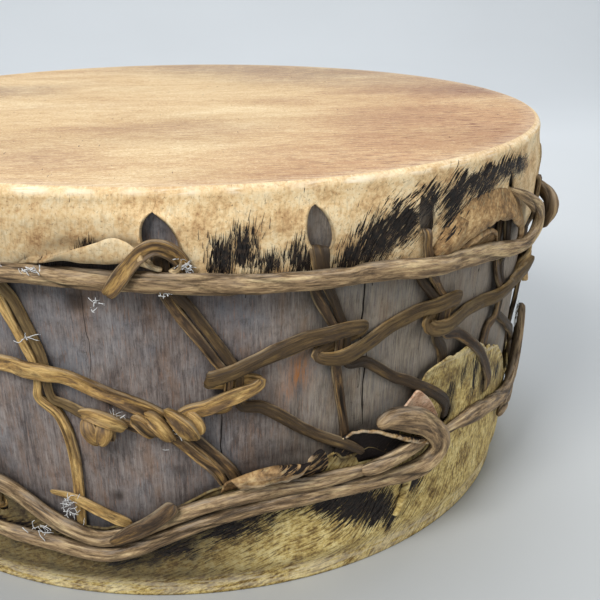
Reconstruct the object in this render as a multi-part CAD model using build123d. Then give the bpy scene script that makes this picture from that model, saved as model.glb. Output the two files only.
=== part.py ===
from build123d import *
from math import ceil, cos, radians, sin
import os

os.makedirs("parts", exist_ok=True)

# All lengths in millimetres, all angles in degrees.
# Angle 0 faces the front (-Y) and grows towards +X. Z = 0 is the face the drum stands on.

# ---- driving dimensions ----
DRUM_HEIGHT = 197.0
SKIN = 1.0                # rawhide thickness of the two heads
SEAT = 0.1                # clearance left between a head and the wood it lies on
SHELL_RADIUS_TOP = 198.6
SHELL_RADIUS_FOOT = 185.5
SHELL_WALL = 12.0
RIM_ROUND = 5.0           # outer rounding of the shell under the upper head
FOOT_ROUND = 7.0          # outer rounding of the shell under the lower head
SKIRT_GAP = 2.3           # space between wood and skirt where the lacing passes
MM_PER_DEGREE = 3.4       # arc length of one degree near the shell surface

THONG_WIDTH = 5.6
THONG_THICK = 1.8
CINCH_WIDTH = 6.4
TIE_WIDTH = 7.0
ROPE_WIDTH = 8.4
ROPE_THICK = 5.0

# Height of a strand's centre line above the wood, for each layer of the lacing
ON_WOOD = 1.15
OVER_SKIN = 4.5
ROPE_ON_SKIN = 6.2
ROPE_OVER_THONG = 8.3
LEG_LIFTED = 3.2
CINCH_OVER = 5.6

FLANK = 0.3               # where a strand's two flat faces end, as a share of its width

SHELL_TOP = DRUM_HEIGHT - SKIN - SEAT
SHELL_BOTTOM = SKIN + SEAT
ARC_MIDDLE = 1 - cos(radians(45))   # how far the middle of a rounding stands in from its corner

# Twenty lacing slits cut round each skirt, as angles
UPPER_SLITS = [-24.0, -3.5, 14.5, 29.5, 48.0, 65.5, 85.5, 104.0, 121.5, 140.0,
               157.5, 176.0, 194.0, 211.5, 230.0, 247.5, 265.0, 283.0, 300.5, 318.0]
LOWER_SLITS = [-17.0, 4.2, 20.5, 37.6, 49.5, 75.0, 93.0, 110.5, 129.0, 146.5,
               165.0, 183.0, 201.0, 219.0, 236.5, 255.0, 272.5, 290.0, 307.5, 324.0]
LAST_LOWER_SLIT = 331.5   # where the lacing that runs all the way round is tied off
# Where the cinch draws each pair of thongs together: (angle, height)
PINCHES = [(-19.2, 116.0), (4.2, 112.0), (18.3, 124.5), (34.8, 125.5), (50.6, 119.0),
           (69.5, 117.0), (90.0, 121.0), (108.0, 115.0), (126.0, 122.0), (144.0, 116.0),
           (162.0, 120.0), (180.5, 117.0), (198.5, 123.0), (216.0, 116.0), (234.0, 121.0),
           (252.0, 115.0), (269.5, 120.0), (287.0, 118.0), (304.5, 123.0), (321.5, 117.0)]

# Lower edge of the upper skirt, (angle, height); the rope lies over it
UPPER_EDGE = [(-30, 160.5), (-22, 161.5), (-10, 160), (0, 158.5), (12, 157), (25, 155),
              (34, 152.5), (42, 150), (54, 149), (62, 152), (72, 156), (90, 158.5),
              (110, 156.5), (130, 159.5), (150, 157), (170, 159), (190, 156), (210, 158.5),
              (230, 160.5), (250, 157.5), (270, 159.5), (290, 157), (310, 160), (330, 160.5)]
# Upper edge of the lower skirt; three flaps and one big untrimmed tongue stand above the rope
LOWER_EDGE = [(-30, 62), (-27, 58), (-22, 46), (-18, 41), (-13, 38.5), (-8, 43), (-2, 53),
              (2, 61), (4, 68), (8, 72), (13, 74), (16, 67), (18, 75), (23, 78), (28, 70),
              (30, 78), (32.5, 96), (36, 100), (41, 100), (45, 97), (52, 88), (57, 74),
              (62, 58), (70, 52), (80, 57), (95, 60), (110, 56), (125, 59), (140, 61),
              (155, 57), (170, 60), (185, 56), (200, 58), (215, 61), (230, 57), (245, 60),
              (260, 62), (275, 58), (290, 60), (305, 57), (320, 60), (330, 62)]


# ---- helpers ----
def shell_radius(z):
    """Outer radius of the tapered wooden shell at height z."""
    return SHELL_RADIUS_FOOT + (SHELL_RADIUS_TOP - SHELL_RADIUS_FOOT) * z / DRUM_HEIGHT


def outward(angle):
    """Unit vector pointing out of the shell at an angle."""
    return Vector(sin(radians(angle)), -cos(radians(angle)), 0)


def on_shell(angle, z, lift):
    """Point standing `lift` above the wood."""
    return outward(angle) * (shell_radius(z) + lift) + Vector(0, 0, z)


def around(table, angle):
    """Straight-line reading of an (angle, value) table that closes on itself."""
    start = table[0][0]
    turned = (angle - start) % 360 + start
    closed = table + [(start + 360, table[0][1])]
    for (a0, v0), (a1, v1) in zip(closed, closed[1:]):
        if turned <= a1:
            return v0 + (v1 - v0) * (turned - a0) / (a1 - a0)
    return closed[-1][1]


def smooth(route, step):
    """Curve through (angle, z, lift, size) knots, cut into pieces no longer than `step`."""
    knots = [knot if len(knot) == 4 else (*knot, 1.0) for knot in route]
    marks = [0.0]
    for a, b in zip(knots, knots[1:]):
        chord = Vector((b[0] - a[0]) * MM_PER_DEGREE, b[1] - a[1], b[2] - a[2])
        marks.append(marks[-1] + chord.length)
    last = len(knots) - 1
    points = []
    for i in range(last):
        span = marks[i + 1] - marks[i]
        slopes = []
        for j in (i, i + 1):
            before = max(j - 1, 0)
            after = min(j + 1, last)
            reach = marks[after] - marks[before]
            slopes.append([(q - p) / reach for p, q in zip(knots[before], knots[after])])
        pieces = max(1, ceil(span / step))
        for k in range(pieces):
            t = k / pieces
            h0 = 2 * t**3 - 3 * t**2 + 1
            h1 = t**3 - 2 * t**2 + t
            h2 = 3 * t**2 - 2 * t**3
            h3 = t**3 - t**2
            point = []
            for p, q, m, n in zip(knots[i], knots[i + 1], slopes[0], slopes[1]):
                point.append(h0 * p + h1 * span * m + h2 * q + h3 * span * n)
            low, high = sorted((knots[i][2], knots[i + 1][2]))
            point[2] = min(max(point[2], low), high)
            points.append(point)
    points.append(list(knots[-1]))
    return points


def strand(route, width, thick, step=9.0):
    """Flat rawhide strand with a six-sided section along a route round the shell."""
    points = smooth(route, step)
    centres = [on_shell(a, z, lift) for a, z, lift, size in points]
    sections = []
    across = None
    for i, (angle, z, lift, size) in enumerate(points):
        ahead = centres[min(i + 1, len(points) - 1)] - centres[max(i - 1, 0)]
        along = ahead.normalized()
        square = outward(angle).cross(along)
        if across is None:
            across = square.normalized()
        if square.dot(across) < 0:
            square = square * -1
        held = across - along * across.dot(along)
        across = (square * square.length + held * (1 - square.length)).normalized()
        up = along.cross(across)
        half = across * (width * size / 2)
        flank = across * (width * size * FLANK)
        rise = up * (thick * min(1.0, size * 1.25) / 2)
        centre = centres[i]
        corners = [centre + half, centre + flank + rise, centre - flank + rise,
                   centre - half, centre - flank - rise, centre + flank - rise]
        sections.append(Wire.make_polygon(corners, close=True))
    return Solid.make_loft(sections, ruled=True)


def save(shape, name):
    """Write one named piece."""
    shape.label = name
    export_step(shape, f"parts/{name}.step")


# ---- wooden shell ----
def shell_solid():
    low_z = SHELL_BOTTOM + FOOT_ROUND
    high_z = SHELL_TOP - RIM_ROUND
    r_low = shell_radius(low_z)
    r_high = shell_radius(high_z)
    with BuildPart() as made:
        with BuildSketch(Plane.XZ):
            with BuildLine():
                Line((r_low - SHELL_WALL, SHELL_BOTTOM), (r_low - FOOT_ROUND, SHELL_BOTTOM))
                ThreePointArc((r_low - FOOT_ROUND, SHELL_BOTTOM),
                              (r_low - FOOT_ROUND * ARC_MIDDLE, low_z - FOOT_ROUND * (1 - ARC_MIDDLE)),
                              (r_low, low_z))
                Line((r_low, low_z), (r_high, high_z))
                ThreePointArc((r_high, high_z),
                              (r_high - RIM_ROUND * ARC_MIDDLE, high_z + RIM_ROUND * (1 - ARC_MIDDLE)),
                              (r_high - RIM_ROUND, SHELL_TOP))
                Line((r_high - RIM_ROUND, SHELL_TOP), (r_high - SHELL_WALL, SHELL_TOP))
                Line((r_high - SHELL_WALL, SHELL_TOP), (r_low - SHELL_WALL, SHELL_BOTTOM))
            make_face()
        revolve(axis=Axis.Z)
    return made.part.solid()


# ---- rawhide heads ----
FLARE_HEIGHT = 5.0        # over this height the skirt leaves the wood
TRIM_STEP = 8.0           # spacing of the trimmer's sections, in degrees
CUT_INSIDE = 4.0          # how far a cutter reaches inside and outside the wood's surface
CUT_OUTSIDE = 12.0
LEAF_INSIDE = 6.0
LEAF_DEPTH = 16.0
UPPER_BLANK_EDGE = 146.0  # the skirts are made this long, then trimmed to their uneven edges
UPPER_TRIM_TO = 140.0
LOWER_BLANK_EDGE = 103.0
LOWER_TRIM_TO = 108.0


def head_solid(face_z, inward, corner, edge_z):
    """Skin stretched over one end: disc, rounded corner, then a skirt standing off the wood.

    inward is +1 when the skirt runs up from face_z and -1 when it runs down.
    """
    seat = face_z + inward * SKIN
    inside = corner + SEAT
    outside = inside + SKIN
    turn_z = face_z + inward * outside
    flare_z = turn_z + inward * FLARE_HEIGHT
    r_in = shell_radius(turn_z) + SEAT
    r_out = r_in + SKIN
    r_flat = r_in - inside
    r_flare = shell_radius(flare_z) + SKIRT_GAP
    r_edge = shell_radius(edge_z) + SKIRT_GAP
    with BuildPart() as made:
        with BuildSketch(Plane.XZ):
            with BuildLine():
                Line((0, face_z), (r_flat, face_z))
                ThreePointArc((r_flat, face_z),
                              (r_out - outside * ARC_MIDDLE, face_z + inward * outside * ARC_MIDDLE),
                              (r_out, turn_z))
                Polyline((r_out, turn_z), (r_flare + SKIN, flare_z), (r_edge + SKIN, edge_z),
                         (r_edge, edge_z), (r_flare, flare_z), (r_in, turn_z))
                ThreePointArc((r_in, turn_z),
                              (r_in - inside * ARC_MIDDLE, seat + inward * inside * ARC_MIDDLE),
                              (r_flat, seat))
                Polyline((r_flat, seat), (0, seat), (0, face_z))
            make_face()
        revolve(axis=Axis.Z)
    return made.part.solid()


def trimmer(table, far_z):
    """Two half rings that remove everything between an uneven edge and far_z."""
    stops = sorted({angle for angle, _ in table})
    start = stops[0]
    stops = stops + [start + 360]
    fine = []
    for a, b in zip(stops, stops[1:]):
        pieces = ceil((b - a) / TRIM_STEP)
        fine += [a + (b - a) * k / pieces for k in range(pieces)]
    fine.append(start + 360)
    middle = len(fine) // 2
    halves = []
    for group in (fine[:middle + 1], fine[middle:]):
        wires = []
        for angle in group:
            edge = around(table, angle)
            inner = outward(angle) * (SHELL_RADIUS_FOOT - CUT_INSIDE)
            outer = outward(angle) * (SHELL_RADIUS_TOP + CUT_OUTSIDE)
            corners = [inner + Vector(0, 0, edge), outer + Vector(0, 0, edge),
                       outer + Vector(0, 0, far_z), inner + Vector(0, 0, far_z)]
            wires.append(Wire.make_polygon(corners, close=True))
        halves.append(Solid.make_loft(wires, ruled=True))
    return halves


def leaf(angle, z_low, z_high, width):
    """Leaf-shaped cutter through a skirt."""
    middle = (z_low + z_high) / 2
    face = Plane(origin=on_shell(angle, middle, -LEAF_INSIDE), x_dir=outward(angle + 90),
                 z_dir=outward(angle))
    half = (z_high - z_low) / 2
    with BuildPart() as made:
        with BuildSketch(face):
            with BuildLine():
                ThreePointArc((0, -half), (width / 2, 0), (0, half))
                ThreePointArc((0, half), (-width / 2, 0), (0, -half))
            make_face()
        extrude(amount=LEAF_DEPTH)
    return made.part.solid()


ROPE_HOLE = (70.4, 159.0, 170.0)   # angle, low and high end of the hole the standing loop comes from
UPPER_SLIT_LOW = 169.0
UPPER_SLIT_HIGH = 187.0
UPPER_SLIT_WIDTH = 9.0
LOWER_SLIT_WIDTH = 8.5
LOWER_SLIT_TALL = 9.0
LOWER_MARGIN = 9.0        # skin left between a lower slit and the skirt's edge
LOWER_SKIRT_HIGH = 61.0   # the slits take no notice of flaps that stand above this height
TONGUE_SLIT_HIGH = 75.0   # the two slits cut in the big tongue sit lower down than its edge
TONGUE_SLITS = (37.6, 49.5)


def lower_slit_top(angle):
    """Upper end of a lower slit."""
    if angle in TONGUE_SLITS:
        return TONGUE_SLIT_HIGH
    return min(around(LOWER_EDGE, angle), LOWER_SKIRT_HIGH) - LOWER_MARGIN


def head_with_slits(blank, trims, slits):
    for trim in trims:
        blank = blank - trim
    for slit in slits:
        blank = blank - slit
    return blank.solids().sort_by(SortBy.VOLUME)[-1]


# ---- lacing routes ----
FOLD_SIZE = 0.8           # the thong is squeezed narrower where it passes a slit
FOLD_RISE = 3.2           # the fold sits where the leaf is wide enough for it
PINCH_HALF = 4.0          # half the height over which a pair of legs is held together


def climb_in(angle, z):
    """Fold over the margin under an upper slit: up behind the skin, out, down over it."""
    left = angle - 0.5
    right = angle + 0.5
    return [(left, z - 5, ON_WOOD), (left, z + 0.6, 1.25, FOLD_SIZE),
            (angle - 0.3, z + 2.1, 1.75, FOLD_SIZE), (angle, z + 2.7, 2.85, FOLD_SIZE),
            (angle + 0.3, z + 2.1, 3.95, FOLD_SIZE), (right, z + 0.6, OVER_SKIN, FOLD_SIZE),
            (right, z - 5, OVER_SKIN)]


def dive_in(angle, z):
    """Fold over the margin above a lower slit: down over the skin, in, up behind it."""
    left = angle - 0.35
    right = angle + 0.35
    return [(left, z + 4, OVER_SKIN), (left, z - 0.8, OVER_SKIN, FOLD_SIZE),
            (angle - 0.2, z - 2.3, 3.95, FOLD_SIZE), (angle, z - 2.9, 2.85, FOLD_SIZE),
            (angle + 0.2, z - 2.3, 1.75, FOLD_SIZE), (right, z - 0.8, 1.25, FOLD_SIZE),
            (right, z + 4, ON_WOOD)]


def upper_loop(slit, pinch):
    """From just under the pinch up to the slit and back down to just under the pinch."""
    p, zp = pinch
    edge = around(UPPER_EDGE, slit)
    lean = (p - slit) / (edge - zp - PINCH_HALF)

    def leg(side, drop):
        return slit + side + lean * drop, edge - drop

    low = edge - zp - 12
    up = [(p - 0.75, zp - 11, 2.6, 0.85), (p - 0.58, zp - PINCH_HALF, LEG_LIFTED, 0.66),
          (p - 0.58, zp + PINCH_HALF, LEG_LIFTED, 0.66), (*leg(-0.85, low), 1.6, 0.85),
          (*leg(-0.95, 9), ON_WOOD, 0.95)]
    down = [(*leg(0.62, 3.5), OVER_SKIN), (*leg(0.95, 13), 1.5, 0.92)]
    if low > 15:
        down.append((*leg(0.85, low), 1.6, 0.85))
    down += [(p + 0.58, zp + PINCH_HALF, LEG_LIFTED, 0.66),
             (p + 0.58, zp - PINCH_HALF, LEG_LIFTED, 0.66), (p + 0.95, zp - 11, 2.6, 0.85)]
    return up + climb_in(slit, UPPER_SLIT_LOW + FOLD_RISE) + down


def lower_turn(angle):
    """Arrive over the skin from the left, fold through the slit, leave behind the skin."""
    top = lower_slit_top(angle)
    edge = around(LOWER_EDGE, angle)
    arrive = [(angle - 4.8, edge + 16, 2.9), (angle - 1.6, edge + 5, OVER_SKIN)]
    leave = [(angle + 0.1, edge + 6, ON_WOOD)]
    return arrive + dive_in(angle, top - FOLD_RISE) + leave


def lower_start(angle):
    """Cut end lying behind the skin, then up onto the wood."""
    top = lower_slit_top(angle)
    edge = around(LOWER_EDGE, angle)
    return [(angle - 2.1, top - 9, ON_WOOD, 0.7), (angle - 2.1, top + 4, ON_WOOD),
            (angle - 1.6, edge + 8, ON_WOOD)]


def lower_finish(angle):
    """Arrive over the skin, fold through the slit and stop behind the skin."""
    top = lower_slit_top(angle)
    edge = around(LOWER_EDGE, angle)
    arrive = [(angle - 4.8, edge + 16, 2.9), (angle - 1.6, edge + 5, OVER_SKIN)]
    inside = dive_in(angle, top - FOLD_RISE)[:-1]
    return arrive + inside + [(angle + 0.5, top + 3, ON_WOOD, 0.7)]


def regular_length(first):
    """Lacing length that makes two Y units, starting at unit number `first`."""
    route = lower_start(LOWER_SLITS[first])
    route += upper_loop(UPPER_SLITS[first], PINCHES[first])
    route += lower_turn(LOWER_SLITS[first + 1])
    route += upper_loop(UPPER_SLITS[first + 1], PINCHES[first + 1])
    after = LOWER_SLITS[first + 2] if first + 2 < len(LOWER_SLITS) else LAST_LOWER_SLIT
    route += lower_finish(after)
    return route


# Lengths seen at the front, each with its own run
LENGTH_01 = [(-16.9, 28, ON_WOOD, 0.7), (-16.7, 40, ON_WOOD), (-16.6, 56, ON_WOOD),
             (-17.3, 85, ON_WOOD)]
LENGTH_01 += upper_loop(UPPER_SLITS[0], PINCHES[0])
LENGTH_01 += [(-17.0, 101.5, 1.4), (-15.2, 99.5, 2.2), (-13.4, 97.0, 5.6), (-12.2, 91.0, 5.9),
              (-13.0, 86.0, 4.4, 0.9), (-14.6, 84.5, 2.6, 0.6)]
LENGTH_02 = [(1.2, 99.5, ON_WOOD, 0.8)]
LENGTH_02 += upper_loop(UPPER_SLITS[1], PINCHES[1])
LENGTH_02 += [(8.0, 98, ON_WOOD), (13.2, 85, 1.5), (16.0, 79.5, 3.8), (18.0, 76, 5.0),
              (20.0, 72, 5.2, 0.8), (22.0, 67, 5.4, 0.5)]
LENGTH_03 = [(19.4, 44, ON_WOOD, 0.7), (19.8, 60, ON_WOOD), (19.5, 80, ON_WOOD)]
LENGTH_03 += upper_loop(UPPER_SLITS[2], PINCHES[2])
LENGTH_03 += [(22.0, 112, ON_WOOD), (27.0, 100, ON_WOOD), (28.8, 97, 2.8),
              (30.8, 93, OVER_SKIN), (33.2, 88, OVER_SKIN), (35.6, 82, OVER_SKIN)]
LENGTH_03 += dive_in(LOWER_SLITS[3], TONGUE_SLIT_HIGH - FOLD_RISE)
LENGTH_03 += [(37.0, 95, ON_WOOD), (36.2, 105, ON_WOOD)]
LENGTH_03 += upper_loop(UPPER_SLITS[3], PINCHES[3])
LENGTH_03 += [(39.0, 111, 1.8), (42.5, 102, OVER_SKIN), (45.5, 93, OVER_SKIN)]
LENGTH_03 += dive_in(LOWER_SLITS[4], TONGUE_SLIT_HIGH - FOLD_RISE)[:-1]
LENGTH_03 += [(50.0, 78.5, ON_WOOD, 0.7)]
LENGTH_04 = [(47.6, 82, ON_WOOD, 0.7), (47.8, 92, ON_WOOD), (48.6, 103, ON_WOOD)]
LENGTH_04 += upper_loop(UPPER_SLITS[4], PINCHES[4])
LENGTH_04 += lower_turn(LOWER_SLITS[5])
LENGTH_04 += upper_loop(UPPER_SLITS[5], PINCHES[5])
LENGTH_04 += lower_finish(LOWER_SLITS[6])

KNOT_THONG = [(-11.2, 84.5, 1.6, 0.6), (-11.4, 90.0, 1.3), (-11.2, 96.5, 1.4), (-9.4, 94.5, 1.6),
              (-7.0, 91.5, 2.0), (-4.9, 90.0, 2.6), (-3.1, 86.0, 2.0), (-0.6, 77.0, ON_WOOD),
              (1.8, 68.0, ON_WOOD), (3.2, 58.0, ON_WOOD, 0.7)]
LENGTH_12 = [(5.2, 58.0, ON_WOOD, 0.7), (3.7, 68.5, ON_WOOD), (1.3, 78.5, ON_WOOD),
             (-1.2, 88.0, 1.4), (-2.6, 93.4, 1.6, 0.6)]

# Cinch thong, from left to right
CINCH_LEFT = [(-27.0, 119.0, 1.4), (-23.0, 119.5, 3.0), (-20.5, 119.3, CINCH_OVER),
              (-18.0, 118.2, CINCH_OVER), (-16.0, 116.0, 3.0), (-13.0, 111.0, 1.4),
              (-9.0, 105.0, 1.4), (-6.0, 100.0, 1.6), (-4.2, 97.2, 2.4, 0.8)]
CINCH_FRONT = [(-4.6, 91.0, 6.0, 0.5), (-3.4, 95.5, 5.6, 0.8), (-1.5, 99.3, 3.4),
               (1.0, 102.5, 4.9), (3.2, 106.0, CINCH_OVER), (5.2, 108.6, CINCH_OVER),
               (6.8, 110.4, 4.9, 0.8), (7.6, 111.9, 2.9, 0.7), (6.3, 113.0, 1.3, 0.8),
               (4.2, 113.2, ON_WOOD),
               (2.3, 113.6, 1.3), (1.4, 114.4, 2.6), (1.9, 115.8, 4.9), (4.0, 118.2, CINCH_OVER),
               (6.6, 121.0, 4.0), (10.0, 124.4, 1.6), (13.5, 128.2, 2.0), (16.0, 130.4, 4.9),
               (18.4, 131.6, CINCH_OVER), (20.4, 131.2, 4.9), (21.2, 129.6, 2.6),
               (20.2, 127.4, 1.4), (18.3, 125.4, ON_WOOD), (15.8, 122.4, 1.3, 0.8),
               (14.7, 120.9, 2.8, 0.7), (15.9, 119.4, 4.9, 0.8), (18.2, 119.2, CINCH_OVER),
               (21.0, 121.4, 4.4),
               (26.0, 126.8, 1.6), (30.5, 130.2, 1.8), (32.8, 131.6, 4.9), (35.0, 132.4, CINCH_OVER),
               (37.0, 131.8, 4.9), (37.7, 130.0, 2.6), (36.8, 127.8, 1.4), (34.9, 126.0, ON_WOOD),
               (32.8, 124.2, 1.3), (31.9, 122.4, 2.6), (32.6, 120.8, 4.9), (35.0, 120.0, CINCH_OVER),
               (37.6, 120.6, 4.6), (41.0, 121.0, 2.0), (45.0, 120.8, 1.6), (48.2, 121.2, 4.9),
               (51.0, 121.6, CINCH_OVER), (53.6, 121.0, 4.9), (57.0, 118.0, 2.4),
               (61.0, 118.6, 4.0), (64.2, 120.8, 6.4, 0.8), (66.2, 123.6, 8.6, 0.45)]


def wrap(pinch):
    """Cinch over the legs, back behind them and over them again a little lower."""
    p, zp = pinch
    return [(p - 4.6, zp + 1.5, 1.6), (p - 2.2, zp + 4.0, 4.9), (p, zp + 5.8, CINCH_OVER),
            (p + 2.0, zp + 5.6, 4.9), (p + 2.7, zp + 4.0, 2.6), (p + 1.9, zp + 1.8, 1.4),
            (p, zp, ON_WOOD), (p - 2.0, zp - 2.0, 1.3), (p - 2.8, zp - 4.0, 2.6),
            (p - 2.1, zp - 5.6, 4.9), (p, zp - 6.6, CINCH_OVER), (p + 2.6, zp - 5.8, 4.6),
            (p + 5.4, zp - 3.4, 1.5)]


def cinch_run(first, last):
    """Cinch thong that wraps the units from `first` to `last`."""
    route = []
    for pinch in PINCHES[first:last + 1]:
        route += wrap(pinch)
    before = (route[0][0] - 3.5, route[0][1] - 4.5, ON_WOOD, 0.6)
    after = (route[-1][0] + 3.0, route[-1][1] - 1.5, ON_WOOD, 0.6)
    return [before] + route + [after]


# ---- ropes ----
KNOT_APART = 0.5          # two knots of a rope's route never stand closer than this, in degrees


def rope_line(start, stop, height, crossings):
    """Knots of a rope lying on a skirt, humped over the thongs it crosses."""
    knots = {start: ROPE_ON_SKIN, stop: ROPE_ON_SKIN}
    for crossing in crossings:
        turned = (crossing - start) % 360 + start
        for shift, lift in ((-5.2, ROPE_ON_SKIN), (-1.9, ROPE_OVER_THONG),
                            (1.9, ROPE_OVER_THONG), (5.2, ROPE_ON_SKIN)):
            if start + KNOT_APART < turned + shift < stop - KNOT_APART:
                knots[turned + shift] = lift
    return [(angle, height(angle), knots[angle]) for angle in sorted(knots)]


UPPER_CROSSINGS = [angle + 0.6 for angle in UPPER_SLITS]
LOWER_CROSSINGS = LOWER_SLITS[5:] + [LAST_LOWER_SLIT]
UPPER_ROPE_LINE = [(-30, 162), (-22, 163), (-16, 162.5), (-10, 161), (-2.6, 161), (0.7, 159.5),
                   (6, 157.7), (18, 157), (25, 155.5), (34, 152.5), (41, 150.2)]
UPPER_BACK_LINE = [(80, 150), (92, 158), (110, 156), (130, 160), (150, 157), (170, 160),
                   (190, 156.5), (210, 159), (230, 161.5), (250, 158), (270, 160.5),
                   (290, 158), (310, 161), (330, 162)]


def upper_rope_height(angle):
    return around(UPPER_ROPE_LINE + UPPER_BACK_LINE, angle)


UPPER_ROPE_FRONT = [(-158.5, 149.5, 6.1, 0.5), (-156.5, 150.2, 6.2, 0.75), (-153.5, 152, 6.2, 0.9)]
UPPER_ROPE_FRONT += rope_line(-150.6, 42, upper_rope_height, UPPER_CROSSINGS)
UPPER_ROPE_FRONT += [(49.5, 146.6, 8.6), (53.5, 145.8, 9.2), (56.4, 148.6, 9.8), (57.4, 152.5, 10.0),
                     (56.6, 157.5, 10.0), (53.6, 163.2, 10.0), (50.0, 168.6, 9.9),
                     (47.0, 172.8, 9.4, 0.9), (46.2, 175.8, 8.2, 0.75), (46.8, 178.4, 5.8, 0.5),
                     (47.5, 180.4, 3.4, 0.34), (48.0, 182.2, 1.4, 0.25)]
UPPER_ROPE_BACK = [(71.6, 166.6, 1.4, 0.25), (70.9, 165.4, 2.4, 0.3), (70.4, 164.4, 4.8, 0.45),
                   (70.0, 163.2, 9.0, 0.75), (69.7, 161.0, 13.4), (69.5, 157.2, 17.0),
                   (69.4, 151.0, 18.0), (69.5, 145.0, 15.8), (70.2, 140.6, 11.8),
                   (72.4, 138.8, 8.8), (75.8, 141.4, 7.0)]
UPPER_ROPE_BACK += rope_line(79.5, 199.8, upper_rope_height, UPPER_CROSSINGS)
UPPER_ROPE_BACK += [(202.5, 160.0, 6.2, 0.85), (205.2, 161.2, 6.2, 0.7), (207.4, 161.8, 6.1, 0.5)]

UPPER_TIE = [(-0.9, 157.5, 4.2, 0.5), (-0.9, 164, 4.3, 0.7), (-1.5, 169, 5.6), (-3.2, 173.6, 7.6),
             (-5.2, 173, 8.8), (-7.0, 168.5, 10.5), (-8.6, 163, 10.5), (-10, 157.5, 10.2),
             (-11.2, 152.5, 9.2, 0.8)]


def lower_rope_height(angle):
    return around(LOWER_EDGE, angle) - 5.0


LOWER_ROPE_LEFT = [(187.6, 43.6, 6.1, 0.5), (190.2, 44.0, 6.2, 0.75), (193.5, 45.8, 6.2, 0.9)]
LOWER_ROPE_LEFT += rope_line(197.6, 328, lower_rope_height, LOWER_CROSSINGS)
LOWER_ROPE_LEFT += [(329.6, 60.8, 8.3), (333, 60.6, 8.2), (335.5, 54, 6.8, 0.9),
                    (339, 45, 7.4, 0.85), (342, 40, 8.1, 0.8), (346, 35.5, 6.8, 0.8),
                    (350, 39.5, 6.5, 0.8), (354.3, 46.5, 6.4, 0.8), (358.2, 51.7, 6.6, 0.8),
                    (363.4, 56.3, 6.8, 0.8), (368.6, 58.6, 6.4, 0.8), (372.7, 58.4, 6.4, 0.8),
                    (378.5, 58.4, 6.6, 0.75), (382, 58.2, 6.6, 0.6), (385, 57.6, 6.2, 0.35)]
LOWER_ROPE_LOOP = [(-31.5, 38.6, 6.1, 0.5), (-28.8, 38.2, 6.1, 0.75), (-25, 36.8, 6.0, 0.8),
                   (-20.6, 34.6, 6.1, 0.75), (-17.5, 32.0, 7.0, 0.75), (-13, 28.0, 6.2, 0.8),
                   (-8, 33.0, 6.1, 0.8), (-4, 39.0, 6.1, 0.8), (0, 44.5, 6.2, 0.8), (5, 49.0, 6.4, 0.8),
                   (10, 51.0, 6.4, 0.8), (15, 51.2, 6.2, 0.85), (20.5, 50.8, 6.4, 0.9),
                   (26, 50.0, 6.6), (31, 48.6, 7.4), (35.4, 49.6, 8.6), (37.6, 54.5, 9.6),
                   (37.2, 61.5, 10.2), (34.8, 69.0, 9.8), (31.4, 75.5, 8.8), (28.2, 79.8, 7.4, 0.95),
                   (25.2, 80.8, 6.4, 0.8), (23.6, 77.2, 6.2, 0.5)]
LOWER_ROPE_RIGHT = [(31.0, 59.5, 5.2, 0.4), (33.4, 60.2, 5.2, 0.45), (36.5, 60.6, 5.2, 0.45),
                    (40.2, 61.3, 5.8, 0.7), (44, 61, 6.2), (49, 58.6, 6.2), (56, 54, 6.4),
                    (62, 50.5, 6.4), (66.2, 54, 6.8), (68.4, 63, 7.0), (69.2, 73, 7.0),
                    (69.6, 83, 6.6, 0.9), (70.3, 91, 6.2, 0.7)]
LOWER_ROPE_BACK = [(57.5, 40, 6.1, 0.5), (61, 40.6, 6.2, 0.8), (65, 42.4, 6.3)]
LOWER_ROPE_BACK += rope_line(69.2, 185.5, lower_rope_height, LOWER_CROSSINGS)
LOWER_ROPE_BACK += [(189, 53.4, 6.2, 0.85), (191.8, 54.8, 6.2, 0.75), (194.3, 55.2, 6.1, 0.5)]

LOWER_TIE_FRONT = [(-12.0, 37.0, 10.3, 0.5), (-9.5, 42.5, 10.3, 0.9), (-6.5, 48.5, 10.2, 1.1),
                   (-4.4, 54.5, 10.2, 1.1), (-3.6, 57.5, 9.8, 0.9)]
LOWER_TIE_LEFT = [(-21.0, 52.5, 1.3, 0.6), (-19.0, 52.0, 2.2, 0.8), (-16.6, 50.4, 3.4, 0.9),
                  (-13.6, 47.2, 4.6, 0.9), (-10.8, 45.4, 5.4, 0.7)]

# ---- make and write every piece ----
upper_blank = head_solid(DRUM_HEIGHT, -1, RIM_ROUND, UPPER_BLANK_EDGE)
lower_blank = head_solid(0.0, 1, FOOT_ROUND, LOWER_BLANK_EDGE)
upper_cuts = [leaf(a, UPPER_SLIT_LOW, UPPER_SLIT_HIGH, UPPER_SLIT_WIDTH) for a in UPPER_SLITS]
upper_cuts.append(leaf(*ROPE_HOLE, UPPER_SLIT_WIDTH))
lower_cuts = []
for slit_angle in LOWER_SLITS[3:] + [LAST_LOWER_SLIT]:
    slit_top = lower_slit_top(slit_angle)
    lower_cuts.append(leaf(slit_angle, slit_top - LOWER_SLIT_TALL, slit_top, LOWER_SLIT_WIDTH))

save(shell_solid(), "wood_shell")
save(head_with_slits(upper_blank, trimmer(UPPER_EDGE, UPPER_TRIM_TO), upper_cuts), "top_head")
save(head_with_slits(lower_blank, trimmer(LOWER_EDGE, LOWER_TRIM_TO), lower_cuts), "bottom_head")

ropes = {
    "upper_rope_front": UPPER_ROPE_FRONT,
    "upper_rope_back": UPPER_ROPE_BACK,
    "lower_rope_left": LOWER_ROPE_LEFT,
    "lower_rope_loop": LOWER_ROPE_LOOP,
    "lower_rope_right": LOWER_ROPE_RIGHT,
    "lower_rope_back": LOWER_ROPE_BACK,
}
for name, route in ropes.items():
    save(strand(route, ROPE_WIDTH, ROPE_THICK), name)

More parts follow.
